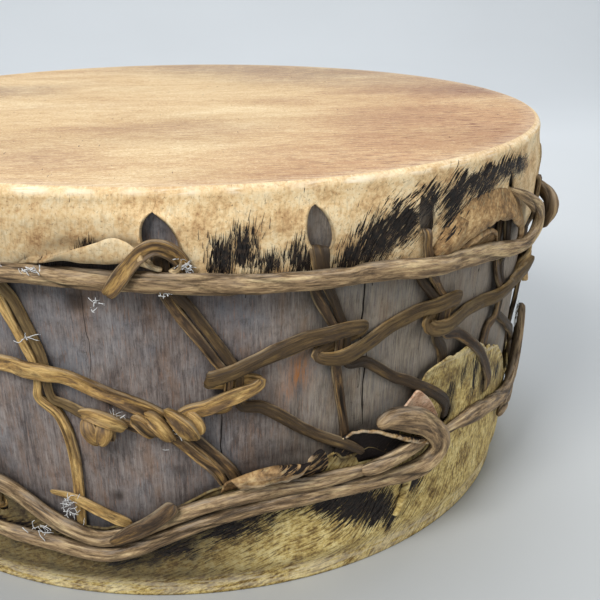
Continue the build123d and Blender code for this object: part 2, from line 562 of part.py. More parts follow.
lengths = [LENGTH_01, LENGTH_02, LENGTH_03, LENGTH_04]
lengths += [regular_length(first) for first in range(6, len(UPPER_SLITS), 2)]
lengths.append(LENGTH_12)
for number, route in enumerate(lengths, start=1):
    save(strand(route, THONG_WIDTH, THONG_THICK), f"lacing_length_{number:02d}")
save(strand(KNOT_THONG, THONG_WIDTH, THONG_THICK), "knot_thong")
save(strand(UPPER_TIE, TIE_WIDTH, THONG_THICK), "upper_tie")
save(strand(LOWER_TIE_FRONT, TIE_WIDTH, THONG_THICK), "lower_tie_front")
save(strand(LOWER_TIE_LEFT, THONG_WIDTH, THONG_THICK), "lower_tie_left")

cinches = [CINCH_LEFT, CINCH_FRONT, cinch_run(5, 9), cinch_run(10, 14), cinch_run(15, 19)]
for number, route in enumerate(cinches, start=1):
    save(strand(route, CINCH_WIDTH, THONG_THICK), f"cinch_length_{number:02d}")
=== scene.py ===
import math

import bmesh
import bpy
import numpy as np
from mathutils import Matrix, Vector


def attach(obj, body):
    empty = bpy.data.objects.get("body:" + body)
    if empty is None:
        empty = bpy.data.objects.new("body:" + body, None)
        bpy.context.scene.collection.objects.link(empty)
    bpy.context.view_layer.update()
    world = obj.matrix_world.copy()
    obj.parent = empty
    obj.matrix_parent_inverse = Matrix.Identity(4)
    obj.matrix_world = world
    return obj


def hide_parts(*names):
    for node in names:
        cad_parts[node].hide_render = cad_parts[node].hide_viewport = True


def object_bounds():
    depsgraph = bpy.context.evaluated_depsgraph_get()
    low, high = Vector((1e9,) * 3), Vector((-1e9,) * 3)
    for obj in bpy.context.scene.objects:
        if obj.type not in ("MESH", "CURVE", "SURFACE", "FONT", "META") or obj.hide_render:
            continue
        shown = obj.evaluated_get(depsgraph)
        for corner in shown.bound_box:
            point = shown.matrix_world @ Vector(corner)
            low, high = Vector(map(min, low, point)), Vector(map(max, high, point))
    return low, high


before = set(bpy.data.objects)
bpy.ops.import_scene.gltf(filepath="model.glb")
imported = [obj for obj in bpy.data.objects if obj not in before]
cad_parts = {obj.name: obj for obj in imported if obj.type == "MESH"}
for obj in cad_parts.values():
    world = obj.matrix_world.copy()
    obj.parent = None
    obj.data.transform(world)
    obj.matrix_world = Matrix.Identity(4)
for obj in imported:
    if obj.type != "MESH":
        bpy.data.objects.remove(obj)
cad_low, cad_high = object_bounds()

# Lengths are in millimetres and angles in degrees round the drum: 0 faces the front (-y) and the angle
# grows to the right (+x). place() turns them into metres in the frame of the CAD. A lift is a height
# above the wood.
MM = 0.001
TOP = cad_high[2] / MM          # height of the drum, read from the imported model

# ------------------------------------------------------------------ shape of the drum
SHELL_HEIGHT = 197.0
SHELL_RADIUS_TOP = 198.6
SHELL_RADIUS_FOOT = 185.5
SHELL_WALL = 12.0
SKIN = 1.0                      # thickness of the rawhide
MM_PER_DEGREE = 3.4             # along the side of the drum, about
FRONT_LEFT, FRONT_RIGHT = -34.0, 74.0   # the part seen at the front, where the meshes are fine
UPPER_SLITS = [-24.0, -3.5, 14.5, 29.5, 48.0, 65.5, 85.5, 104.0, 121.5, 140.0,
               157.5, 176.0, 194.0, 211.5, 230.0, 247.5, 265.0, 283.0, 300.5, 318.0]
LOWER_SLITS = [-17.0, 4.2, 20.5, 37.6, 49.5, 75.0, 93.0, 110.5, 129.0, 146.5,
               165.0, 183.0, 201.0, 219.0, 236.5, 255.0, 272.5, 290.0, 307.5, 324.0]
LAST_LOWER_SLIT = 331.5
# (angle, height) where a cinch thong pulls the two legs of each Y together
PINCHES = [(-19.2, 116.0), (4.2, 112.0), (18.3, 124.5), (34.8, 125.5), (50.6, 119.0),
           (69.5, 117.0), (90.0, 121.0), (108.0, 115.0), (126.0, 122.0), (144.0, 116.0),
           (162.0, 120.0), (180.5, 117.0), (198.5, 123.0), (216.0, 116.0), (234.0, 121.0),
           (252.0, 115.0), (269.5, 120.0), (287.0, 118.0), (304.5, 123.0), (321.5, 117.0)]
# (angle, height) along the trimmed edges of the two skirts
UPPER_EDGE = [(-30, 160.5), (-22, 161.5), (-10, 160), (0, 158.5), (12, 157), (25, 155),
              (34, 152.5), (42, 150), (54, 149), (62, 152), (72, 156), (90, 158.5),
              (110, 156.5), (130, 159.5), (150, 157), (170, 159), (190, 156), (210, 158.5),
              (230, 160.5), (250, 157.5), (270, 159.5), (290, 157), (310, 160), (330, 160.5)]
LOWER_EDGE = [(-30, 62), (-27, 58), (-22, 46), (-18, 41), (-13, 38.5), (-8, 43), (-2, 53),
              (2, 61), (4, 68), (8, 72), (13, 74), (16, 67), (18, 75), (23, 78), (28, 70),
              (30, 78), (32.5, 96), (36, 100), (41, 100), (45, 97), (52, 88), (57, 74),
              (62, 58), (70, 52), (80, 57), (95, 60), (110, 56), (125, 59), (140, 61),
              (155, 57), (170, 60), (185, 56), (200, 58), (215, 61), (230, 57), (245, 60),
              (260, 62), (275, 58), (290, 60), (305, 57), (320, 60), (330, 62)]
# lifts of the middle of a strand
ON_WOOD = 1.15
OVER_SKIN = 4.5
ROPE_ON_SKIN = 6.2
ROPE_OVER_THONG = 8.3
LEG_LIFTED = 3.2
CINCH_OVER = 5.6


# ------------------------------------------------------------------ small mathematics
def shell_radius(z):
    """Outer radius of the wood, which tapers a little to the foot."""
    return SHELL_RADIUS_FOOT + (SHELL_RADIUS_TOP - SHELL_RADIUS_FOOT) * z / SHELL_HEIGHT


def place(angle, z, lift):
    """Points in metres for angles, heights and lifts above the wood."""
    angle = np.radians(angle)
    r = shell_radius(z) + lift
    return np.stack([r * np.sin(angle), -r * np.cos(angle), z + 0 * r], -1) * MM


def around(table, angle):
    """Straight-line reading of a closed (angle, value) table."""
    start = table[0][0]
    xs = [a for a, _ in table] + [start + 360]
    ys = [v for _, v in table] + [table[0][1]]
    return np.interp((np.asarray(angle, float) - start) % 360 + start, xs, ys)


def turned(angle, centre):
    """Signed difference of two angles in degrees."""
    return (np.asarray(angle, float) - centre + 180) % 360 - 180


def step_up(x, low, high):
    """0 up to low, 1 from high on, and a smooth step between them."""
    t = np.clip((np.asarray(x, float) - low) / (high - low), 0, 1)
    return t * t * (3 - 2 * t)


def hump(x, low, high):
    """1 in the middle of a span, 0 at its ends and outside."""
    t = np.clip((np.asarray(x, float) - low) / (high - low), 0, 1)
    return np.sin(np.pi * t) ** 2


def spot(angle, z, centre, middle, wide, tall, power=2):
    """1 at a place on the side of the drum, fading away from it."""
    return np.exp(-((turned(angle, centre) / wide) ** power + ((z - middle) / tall) ** power))


def distances(points):
    """Millimetres along a line of (angle, z, lift) points, from its start to each point."""
    steps = np.diff(points[:, :3] * [MM_PER_DEGREE, 1, 1], axis=0)
    return np.concatenate([[0], np.cumsum(np.linalg.norm(steps, axis=1))])


def hermite(t, start, end, leaving, arriving):
    """Smooth curve from start to end with the given slopes there, for t from 0 to 1."""
    return ((2 * t**3 - 3 * t**2 + 1) * start + (t**3 - 2 * t**2 + t) * leaving
            + (3 * t**2 - 2 * t**3) * end + (t**3 - t**2) * arriving)


def hashed(ix, iy, iz, seed):
    """Repeatable random numbers between -1 and 1, one for each whole-numbered place."""
    n = (ix * 73856093) ^ (iy * 19349663) ^ (iz * 83492791) ^ (seed * 26544357)
    n = ((n ^ (n >> 13)) * 1274126177) & 0xFFFFFFFF
    n = ((n ^ (n >> 15)) * 2246822519) & 0xFFFFFFFF
    return (n ^ (n >> 16)) / 2147483648.0 - 1.0


def noise(points, seed=0):
    """Smooth value noise between -1 and 1."""
    points = np.asarray(points, float)
    base = np.floor(points).astype(np.int64)
    f = points - base
    u = f * f * (3 - 2 * f)
    total = np.zeros(points.shape[:-1])
    for dx in (0, 1):
        for dy in (0, 1):
            for dz in (0, 1):
                w = (u[..., 0] if dx else 1 - u[..., 0])
                w = w * (u[..., 1] if dy else 1 - u[..., 1])
                w = w * (u[..., 2] if dz else 1 - u[..., 2])
                total += w * hashed(base[..., 0] + dx, base[..., 1] + dy, base[..., 2] + dz, seed)
    return total


def layered(points, octaves, seed=0):
    """Noise at several sizes, each half as large and half as strong as the one before."""
    total, size = 0.0, 1.0
    for k in range(octaves):
        total = total + size * noise(np.asarray(points) * 2.0 ** k, seed + k)
        size *= 0.5
    return total / (2 - 2.0 ** (1 - octaves))


def noise_on(x, y, seed, octaves=1):
    """Noise over two coordinates."""
    x, y = np.broadcast_arrays(np.asarray(x, float), np.asarray(y, float))
    return layered(np.stack([x, y, 0 * x + 0.37], -1), octaves, seed)


# ------------------------------------------------------------------ mesh helpers
def make_mesh(name, verts, faces, values=None, flow=None, comb=None, merge=0.0):
    """Smooth mesh object with point attributes; points closer than merge, in metres, are joined."""
    mesh = bpy.data.meshes.new(name)
    mesh.from_pydata(np.asarray(verts).reshape(-1, 3).tolist(), [], [list(f) for f in faces])
    for key, value in (values or {}).items():
        data = mesh.attributes.new(key, "FLOAT", "POINT").data
        data.foreach_set("value", np.ascontiguousarray(value, np.float32).ravel())
    for key, value in (("flow", flow), ("comb", comb)):
        if value is not None:
            data = mesh.attributes.new(key, "FLOAT_VECTOR", "POINT").data
            data.foreach_set("vector", np.ascontiguousarray(value, np.float32).ravel())
    mesh.polygons.foreach_set("use_smooth", [True] * len(mesh.polygons))
    obj = bpy.data.objects.new(name, mesh)
    bpy.context.scene.collection.objects.link(obj)
    if merge:
        bm = bmesh.new()
        bm.from_mesh(mesh)
        bmesh.ops.remove_doubles(bm, verts=bm.verts, dist=merge)
        bmesh.ops.dissolve_degenerate(bm, edges=bm.edges, dist=merge)
        bmesh.ops.recalc_face_normals(bm, faces=bm.faces)
        bm.to_mesh(mesh)
        bm.free()
    return obj


def grid_faces(rows, columns, closed_columns=False, skip=None):
    """Faces of a grid of points; a column named in skip isn't joined to the next one."""
    faces = []
    last = columns if closed_columns else columns - 1
    for i in range(rows - 1):
        for j in range(last):
            if skip is not None and j in skip:
                continue
            k = (j + 1) % columns
            faces.append((i * columns + j, i * columns + k, (i + 1) * columns + k, (i + 1) * columns + j))
    return faces


def dress(obj, material, slot, *nodes):
    """Material, body and the CAD nodes a piece stands for; the slot is not used."""
    obj.data.materials.append(material)
    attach(obj, "root")
    if nodes:
        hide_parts(*nodes)
    return obj


def thicken(obj, thickness):
    """Gives a surface a thickness in millimetres."""
    solid = obj.modifiers.new("skin", "SOLIDIFY")
    solid.thickness = thickness * MM
    solid.offset = 0.0
    solid.use_even_offset = False
    return obj


# ------------------------------------------------------------------ materials
class Graph:
    """A material's nodes, made with short calls."""

    def __init__(self, name):
        self.material = bpy.data.materials.new(name)
        self.material.use_nodes = True
        self.tree = self.material.node_tree
        self.tree.nodes.clear()
        self.shader = self.tree.nodes.new("ShaderNodeBsdfPrincipled")
        out = self.tree.nodes.new("ShaderNodeOutputMaterial")
        self.tree.links.new(self.shader.outputs[0], out.inputs[0])

    def put(self, socket, value):
        """Links another node's output to a socket, or sets its value."""
        if isinstance(value, bpy.types.NodeSocket):
            self.tree.links.new(value, socket)
        else:
            socket.default_value = value

    def node(self, kind, inputs=(), **settings):
        made = self.tree.nodes.new("ShaderNode" + kind)
        for key, value in settings.items():
            setattr(made, key, value)
        for key, value in dict(inputs).items():
            self.put(made.inputs[key], value)
        return made

    def value(self, name):
        """A point attribute of the mesh."""
        return self.node("Attribute", attribute_name=name).outputs["Fac"]

    def stretched(self, name, sx, sy):
        source = self.node("Attribute", attribute_name=name).outputs["Vector"]
        return self.node("VectorMath", {0: source, 1: (sx, sy, 1.0)}, operation="MULTIPLY").outputs[0]

    def flow(self, sx, sy):
        """Coordinates across and along the grain of a piece, in millimetres."""
        return self.stretched("flow", sx, sy)

    def comb(self, sx, sy):
        """Coordinates across and along the way the hair lies, in millimetres."""
        return self.stretched("comb", sx, sy)

    def noise(self, vector, scale=1.0, detail=3.0, rough=0.55, distortion=0.0):
        made = self.node("TexNoise", {"Vector": vector, "Scale": scale, "Detail": detail,
                                      "Roughness": rough, "Distortion": distortion})
        return made.outputs["Fac"]

    def maths(self, operation, a, b=0.5, clamp=False):
        return self.node("Math", {0: a, 1: b}, operation=operation, use_clamp=clamp).outputs[0]

    def share(self, a, b):
        """Product of two shares, kept between 0 and 1."""
        return self.maths("MULTIPLY", a, b, clamp=True)

    def weighted(self, a, share_a, b, share_b):
        """Sum of two values, each times its share."""
        return self.maths("ADD", self.maths("MULTIPLY", a, share_a), self.maths("MULTIPLY", b, share_b))

    def swing(self, value, strength):
        """A noise made to swing round 0."""
        return self.maths("MULTIPLY", self.maths("SUBTRACT", value, 0.5), strength)

    def range(self, value, low, high, to_low=0.0, to_high=1.0):
        made = self.node("MapRange", {0: value, 1: low, 2: high, 3: to_low, 4: to_high})
        return made.outputs[0]

    def mix(self, share, a, b):
        made = self.node("Mix", data_type="RGBA", blend_type="MIX")
        self.put(made.inputs[0], share)
        self.put(made.inputs[6], a if isinstance(a, bpy.types.NodeSocket) else (*a, 1))
        self.put(made.inputs[7], b if isinstance(b, bpy.types.NodeSocket) else (*b, 1))
        return made.outputs[2]

    def ramp(self, value, stops):
        """Colours at (position, colour) stops and between them."""
        made = self.node("ValToRGB", {0: value})
        band = made.color_ramp
        while len(band.elements) < len(stops):
            band.elements.new(0.5)
        for element, (at, colour) in zip(band.elements, stops):
            element.position = at
            element.color = (*colour, 1)
        return made.outputs[0]

    def bump(self, height, strength, distance, under=None):
        """Surface relief, on top of another one if it is given."""
        made = self.node("Bump", {"Height": height, "Strength": strength, "Distance": distance})
        if under is not None:
            self.put(made.inputs["Normal"], under)
        return made.outputs[0]

    def finish(self, colour, roughness, normal, specular=0.3, sheen=0.0):
        self.put(self.shader.inputs["Base Color"], colour)
        self.put(self.shader.inputs["Roughness"], roughness)
        self.put(self.shader.inputs["Normal"], normal)
        self.shader.inputs["Specular IOR Level"].default_value = specular
        self.shader.inputs["Sheen Weight"].default_value = sheen
        return self.material


# colours that the materials mix in
SKIN_THREAD = (0.40, 0.245, 0.135)
SKIN_FLECK = (0.36, 0.215, 0.115)
SKIN_PALE_FLECK = (0.80, 0.68, 0.48)
SKIN_VEIN = (0.36, 0.20, 0.10)
SKIN_BROWN = (0.45, 0.235, 0.135)
SKIN_SHADED_GREY = (0.21, 0.165, 0.145)
SKIN_MARK = (0.17, 0.070, 0.045)
SKIN_PIT = (0.15, 0.075, 0.040)
SKIN_WORN_HIGHLIGHT = (0.83, 0.74, 0.57)
SKIN_DIRT_AND_SHADE = (0.040, 0.027, 0.017)
COMBED_HIGHLIGHT = (0.82, 0.72, 0.40)
COMBED_DARK = (0.10, 0.055, 0.022)
FUR_BLACK = (0.014, 0.010, 0.009)
STRAND_DARK = (0.055, 0.032, 0.017)
STRAND_EDGE_HIGHLIGHT = (0.62, 0.47, 0.26)
STRAND_DUST = (0.42, 0.38, 0.33)
STRAND_GRIME = (0.050, 0.033, 0.020)
STRAND_UNDERSIDE_SHADE = (0.035, 0.024, 0.015)
STRAND_CREASE_SHADE = (0.016, 0.011, 0.007)
WOOD_WARM = (0.245, 0.150, 0.095)
WOOD_COLD = (0.175, 0.195, 0.225)
WOOD_SCRATCH = (0.30, 0.165, 0.105)
WOOD_PORE = (0.040, 0.030, 0.024)
WOOD_DARK = (0.060, 0.045, 0.040)
WOOD_LIGHT = (0.34, 0.31, 0.295)
WOOD_TAN = (0.37, 0.315, 0.225)
WOOD_RUST = (0.36, 0.14, 0.04)
WOOD_DIRT_AND_SHADE = (0.03, 0.022, 0.018)
WOOD_CRACK = (0.010, 0.007, 0.005)


def skin_material(name, disc_stops, skirt_stops, stroke_share=0.35):
    """Rawhide: scraped and fibrous on the disc, marked by the hair on the skirt."""
    g = Graph(name)
    big = g.noise(g.flow(0.009, 0.020), detail=5, rough=0.6, distortion=0.6)
    mid = g.noise(g.flow(0.075, 0.075), detail=6, rough=0.7)
    speck = g.noise(g.flow(0.5, 0.5), detail=4, rough=0.65)
    fibre = g.noise(g.flow(0.10, 0.34), detail=8, rough=0.76, distortion=1.2)
    thread = g.noise(g.flow(0.40, 0.75), detail=5, rough=0.7, distortion=0.8)
    fleck = g.noise(g.flow(0.75, 1.3), detail=4, rough=0.7)
    blend = g.weighted(big, 0.40, fibre, 0.60)
    blend = g.maths("SUBTRACT", blend, g.maths("MULTIPLY", g.value("brown"), 0.12))
    disc = g.ramp(blend, disc_stops)
    disc = g.mix(g.range(thread, 0.50, 0.64, 0, 0.65), disc, SKIN_THREAD)
    disc = g.mix(g.range(fleck, 0.53, 0.64, 0, 0.7), disc, SKIN_FLECK)
    disc = g.mix(g.range(fleck, 0.46, 0.38, 0, 0.6), disc, SKIN_PALE_FLECK)
    veins = g.noise(g.flow(0.05, 0.16), detail=3, rough=0.5, distortion=2.2)
    veins = g.range(g.maths("ABSOLUTE", g.maths("SUBTRACT", veins, 0.5)), 0.004, 0.0, 0.0, 0.5)
    disc = g.mix(veins, disc, SKIN_VEIN)
    disc = g.mix(g.share(g.value("brown"), g.range(fibre, 0.40, 0.60, 0.75, 0.25)), disc, SKIN_BROWN)
    # painted shade greying the disc towards its back, with a random grey tint
    disc = g.mix(g.share(g.value("grey_and_back_shade"), g.range(fibre, 0.42, 0.60, 0.8, 0.2)), disc, SKIN_SHADED_GREY)
    marks = g.noise(g.flow(0.10, 0.33), detail=5, rough=0.7)
    marks = g.share(g.range(marks, 0.53, 0.58), g.value("brown"))
    disc = g.mix(g.maths("MULTIPLY", marks, 0.9), disc, SKIN_MARK)
    skirt = g.ramp(g.weighted(mid, 0.65, speck, 0.35), skirt_stops)
    pits = g.noise(g.flow(0.8, 0.8), detail=3, rough=0.6)
    skirt = g.mix(g.range(pits, 0.58, 0.68, 0, 0.5), skirt, SKIN_PIT)
    stroke = g.noise(g.comb(0.9, 0.16), detail=4, rough=0.65)
    # painted highlight on the combed hair strokes
    skirt = g.mix(g.range(stroke, 0.46, 0.38, 0, 0.5 * stroke_share), skirt, COMBED_HIGHLIGHT)
    skirt = g.mix(g.range(stroke, 0.52, 0.60, 0, stroke_share), skirt, COMBED_DARK)
    colour = g.mix(g.value("disc"), skirt, disc)
    rub = g.noise(g.flow(0.045, 0.5), detail=3, rough=0.6)
    # whitish wear mixed with a painted highlight, strongest in a band along the upper rim's corner
    colour = g.mix(g.share(g.value("wear_and_highlight"), g.range(rub, 0.44, 0.52)), colour, SKIN_WORN_HIGHLIGHT)
    # dirt on the disc together with painted shade in the crease under the rolled hem, at the slits, in the
    # hollows and under the lower rope
    colour = g.mix(g.share(g.value("dirt_and_shade"), g.range(mid, 0.35, 0.65, 0.6, 1.0)), colour, SKIN_DIRT_AND_SHADE)
    streak = g.noise(g.comb(0.80, 0.085), detail=4, rough=0.6)
    fur = g.range(g.maths("ADD", g.value("fur"), g.swing(streak, 2.6)), 0.46, 0.58)
    colour = g.mix(fur, colour, FUR_BLACK)
    normal = g.bump(g.weighted(fibre, 0.6, speck, 0.6), 0.4, 0.0009)
    normal = g.bump(streak, g.range(g.value("fur"), 0.2, 0.8, 0.05, 0.6), 0.0012, normal)
    return g.finish(colour, g.range(speck, 0.3, 0.7, 0.5, 0.78), normal, specular=0.16)


def strand_material(name, stops, dust):
    """Rawhide rope or thong: painted shade in its creases and below, a painted highlight along its edges,
    dusty where it faces up.
    """
    g = Graph(name)
    streak = g.noise(g.flow(0.85, 0.06), detail=6, rough=0.7, distortion=0.6)
    fine = g.noise(g.flow(2.6, 0.20), detail=4, rough=0.65)
    blot = g.noise(g.flow(0.22, 0.025), detail=4, rough=0.65)
    grime = g.noise(g.flow(0.42, 0.07), detail=5, rough=0.7)
    tone = g.maths("ADD", g.value("tone"), g.swing(streak, 2.0))
    colour = g.ramp(g.maths("ADD", tone, g.swing(blot, 1.2)), stops)
    colour = g.mix(g.range(fine, 0.52, 0.68, 0, 0.7), colour, STRAND_DARK)
    # painted highlight along the strand's edges, patchy
    edge_highlight = g.share(g.value("edge"), g.range(grime, 0.42, 0.60))
    colour = g.mix(g.maths("MULTIPLY", edge_highlight, 0.55), colour, STRAND_EDGE_HIGHLIGHT)
    up = g.node("SeparateXYZ", {0: g.node("NewGeometry").outputs["Normal"]}).outputs[2]
    dusty = g.share(g.range(up, -0.1, 0.8), g.range(grime, 0.42, 0.62))
    colour = g.mix(g.maths("MULTIPLY", dusty, dust), colour, STRAND_DUST)
    colour = g.mix(g.share(g.range(grime, 0.50, 0.36), 0.55), colour, STRAND_GRIME)
    # painted shade on the underside of the strand
    colour = g.mix(g.share(g.range(g.value("under"), 0.35, 0.75), 0.75), colour, STRAND_UNDERSIDE_SHADE)
    # painted shade in the creases
    colour = g.mix(g.share(g.value("crease"), 0.95), colour, STRAND_CREASE_SHADE)
    normal = g.bump(g.weighted(streak, 1.0, fine, 0.6), 0.8, 0.0008)
    return g.finish(colour, g.range(streak, 0.3, 0.7, 0.42, 0.75), normal, specular=0.22)


def wood_material():
    """Dry split wood: grain, pores, scratches, warm and cold patches, dark spots and painted shade, rust and
    open cracks.
    """
    g = Graph("weathered_wood")
    grain = g.noise(g.flow(0.95, 0.075), detail=7, rough=0.75, distortion=0.5)
    bands = g.noise(g.flow(0.07, 0.012), detail=4, rough=0.6, distortion=0.8)
    pores = g.noise(g.flow(1.7, 0.22), detail=5, rough=0.75)
    patches = g.noise(g.flow(0.02, 0.02), detail=3, rough=0.6)
    warm = g.noise(g.flow(0.10, 0.022), detail=4, rough=0.6, distortion=0.3)
    scratch = g.noise(g.flow(1.3, 0.10), detail=4, rough=0.7)
    mottle = g.noise(g.flow(0.22, 0.16), detail=6, rough=0.75)
    colour = g.ramp(g.weighted(grain, 0.6, bands, 0.4),
                    [(0.32, (0.052, 0.043, 0.040)), (0.44, (0.140, 0.115, 0.106)),
                     (0.54, (0.245, 0.208, 0.192)), (0.68, (0.410, 0.365, 0.338))])
    colour = g.mix(g.range(warm, 0.51, 0.66, 0, 0.55), colour, WOOD_WARM)
    colour = g.mix(g.range(patches, 0.48, 0.62, 0, 0.55), colour, WOOD_COLD)
    colour = g.mix(g.range(scratch, 0.56, 0.64, 0, 0.5), colour, WOOD_SCRATCH)
    colour = g.mix(g.range(pores, 0.54, 0.68, 0, 0.65), colour, WOOD_PORE)
    colour = g.mix(g.range(mottle, 0.52, 0.64, 0, 0.45), colour, WOOD_DARK)
    colour = g.mix(g.range(mottle, 0.46, 0.36, 0, 0.35), colour, WOOD_LIGHT)
    colour = g.mix(g.share(g.value("tan"), g.range(grain, 0.36, 0.60, 0.15, 0.75)), colour, WOOD_TAN)
    colour = g.mix(g.share(g.value("stain"), g.range(grain, 0.4, 0.6)), colour, WOOD_RUST)
    # painted shade in hollows, under the skirts' edges and beside the thongs, and a few dark spots
    colour = g.mix(g.share(g.value("dirt_and_shade"), g.range(patches, 0.3, 0.7, 0.6, 1)), colour, WOOD_DIRT_AND_SHADE)
    opening = g.range(g.maths("ABSOLUTE", g.value("split")), 0.35, 0.75, 1.0, 0.0)
    colour = g.mix(opening, colour, WOOD_CRACK)
    normal = g.bump(g.weighted(grain, 0.8, pores, 0.5), 0.75, 0.0011)
    return g.finish(colour, g.range(grain, 0.3, 0.7, 0.62, 0.9), normal, specular=0.2)


def hair_material():
    """Black hair with a little brown."""
    g = Graph("black_hair")
    tint = g.noise(g.flow(0.5, 0.5), detail=1)
    colour = g.mix(g.range(tint, 0.4, 0.7), (0.010, 0.008, 0.007), (0.045, 0.028, 0.018))
    normal = g.bump(tint, 0.2, 0.0002)
    return g.finish(colour, g.range(tint, 0.3, 0.7, 0.4, 0.6), normal, specular=0.35)


def dust_material():
    """Pale dust and cobweb."""
    g = Graph("dust_threads")
    tint = g.noise(g.flow(0.3, 0.3), detail=3)
    colour = g.mix(tint, (0.58, 0.58, 0.57), (0.80, 0.81, 0.82))
    normal = g.bump(tint, 0.3, 0.0003)
    return g.finish(colour, g.range(tint, 0.3, 0.7, 0.8, 0.95), normal, specular=0.1, sheen=0.3)


UPPER_SKIN = skin_material(
    "upper_rawhide",
    [(0.30, (0.26, 0.145, 0.075)), (0.41, (0.43, 0.275, 0.140)), (0.49, (0.58, 0.415, 0.225)),
     (0.60, (0.72, 0.585, 0.365))],
    [(0.32, (0.27, 0.145, 0.065)), (0.41, (0.56, 0.355, 0.170)), (0.49, (0.76, 0.545, 0.290)),
     (0.60, (0.88, 0.72, 0.46))], stroke_share=0.2)
NO_DISC = [(0.3, (0.2, 0.1, 0.05)), (0.6, (0.5, 0.3, 0.15))]     # these pieces have no disc to colour
FOLD_SKIN = skin_material(
    "folded_rawhide", NO_DISC,
    [(0.36, (0.070, 0.042, 0.022)), (0.45, (0.19, 0.112, 0.050)), (0.53, (0.37, 0.225, 0.098)),
     (0.64, (0.60, 0.42, 0.21))])
PINK_SKIN = skin_material(
    "pink_rawhide", NO_DISC,
    [(0.34, (0.22, 0.110, 0.060)), (0.43, (0.46, 0.250, 0.150)), (0.51, (0.66, 0.410, 0.265)),
     (0.62, (0.80, 0.58, 0.41))])
LOWER_SKIN = skin_material(
    "lower_rawhide",
    [(0.30, (0.20, 0.12, 0.05)), (0.5, (0.40, 0.27, 0.12)), (0.6, (0.5, 0.37, 0.18)),
     (0.7, (0.62, 0.48, 0.27))],
    [(0.35, (0.090, 0.053, 0.018)), (0.43, (0.280, 0.185, 0.060)), (0.51, (0.58, 0.430, 0.150)),
     (0.60, (0.78, 0.64, 0.30))], stroke_share=0.75)
ROPE = strand_material("rope_rawhide", [(0.10, (0.065, 0.041, 0.023)), (0.34, (0.210, 0.135, 0.070)),
                                        (0.58, (0.45, 0.305, 0.160)), (0.86, (0.70, 0.53, 0.29))], 0.42)
LACE = strand_material("lace_rawhide", [(0.10, (0.050, 0.032, 0.020)), (0.36, (0.165, 0.098, 0.046)),
                                        (0.60, (0.42, 0.250, 0.080)), (0.92, (0.70, 0.47, 0.18))], 0.25)
WOOD = wood_material()
HAIR = hair_material()
DUST = dust_material()


# ------------------------------------------------------------------ strands
STEP = 1.3                      # millimetres between two rings of a strand
# millimetres for one turn, depth and softness of the creases that wind round a rope
ROPE_CREASES = ((95.0, 0.26, 0.20), (140.0, 0.22, 0.16), (-210.0, 0.16, 0.13))
# softness and greatest depth of the folds that run along a thong
THONG_FOLDS = ((0.13, 0.95), (0.09, 0.75))


def run(route):
    """Smooth curve through (angle, z, lift, size, roll) knots, evenly cut; size and roll may be left out."""
    knots = np.array([list(k) + [1.0, 0.0][len(k) - 3:] for k in route], float)
    marks = distances(knots)
    points = []
    last = len(knots) - 1
    for i in range(last):
        span = marks[i + 1] - marks[i]
        slopes = []
        for j in (i, i + 1):
            before, after = max(j - 1, 0), min(j + 1, last)
            slopes.append(span * (knots[after] - knots[before]) / (marks[after] - marks[before]))
        pieces = max(1, math.ceil(span / STEP))
        t = (np.arange(pieces) / pieces)[:, None]
        point = hermite(t, knots[i], knots[i + 1], *slopes)
        low, high = sorted((knots[i][2], knots[i + 1][2]))
        point[:, 2] = np.clip(point[:, 2], low, high)
        points.append(point)
    return np.vstack(points + [knots[-1:]])


def directions(centre, angle):
    """Unit vectors along, across and up at each point of a strand; it turns as little as it can."""
    out = np.stack([np.sin(np.radians(angle)), -np.cos(np.radians(angle)), 0 * angle], -1)
    index = np.arange(len(centre))
    ahead = centre[np.minimum(index + 1, len(centre) - 1)] - centre[np.maximum(index - 1, 0)]
    ahead /= np.linalg.norm(ahead, axis=1)[:, None] + 1e-9
    across = np.zeros_like(centre)
    held = np.cross(out[0], ahead[0])
    held /= np.linalg.norm(held)
    for i in index:
        square = np.cross(out[i], ahead[i])
        if square @ held < 0:
            square = -square
        share = min(1.0, np.linalg.norm(square))
        flatter = held - ahead[i] * (ahead[i] @ held)
        held = square * share + flatter * (1 - share)
        held /= np.linalg.norm(held) + 1e-9
        across[i] = held
    return across, np.cross(ahead, across)


def creased_rope(x, y, theta, along, seed):
    """Section of a rope with creases that wind round it."""
    crease = np.zeros_like(x)
    for k, (turn, depth, soft) in enumerate(ROPE_CREASES):
        where = 2.1 * k + 0.7 + 2 * math.pi * along / turn + 0.9 * noise_on(along / 30.0, k, seed + 7)
        gap = (theta[None, :] - where[:, None] + math.pi) % (2 * math.pi) - math.pi
        strength = depth * (0.6 + 0.5 * noise_on(along / 18.0, k + 0.5, seed + 9))[:, None]
        dip = np.exp(-(gap / soft) ** 2)
        x = x * (1 - strength * dip)
        y = y * (1 - strength * dip)
        crease = np.maximum(crease, dip * np.clip(strength / 0.22, 0, 1))
    return x, y, crease


def folded_thong(y, c, s, thick, size, along, seed):
    """Heights of the section of a thong with folds along it and curled edges."""
    crease = np.zeros_like(y)
    for k, (soft, most) in enumerate(THONG_FOLDS):
        middle = (0.25 - 0.6 * k) + 0.38 * noise_on(along / 26.0, 1.5 + k, seed + 7)
        depth = np.clip(0.50 - 0.15 * k + 0.85 * noise_on(along / 22.0, 2.5 + k, seed + 8), 0, most)
        dip = np.exp(-((c[None, :] - middle[:, None]) / soft) ** 2) * (s > -0.2)[None, :]
        y = y - thick * 0.62 * depth[:, None] * dip
        crease = np.maximum(crease, dip * np.clip(depth / 0.5, 0, 1)[:, None])
    curl = 1.0 * noise_on(along / 30.0, 4.5, seed + 10) + 0.25
    return y + (curl[:, None] * thick * 0.5) * (c[None, :] ** 2) * size[:, None], crease


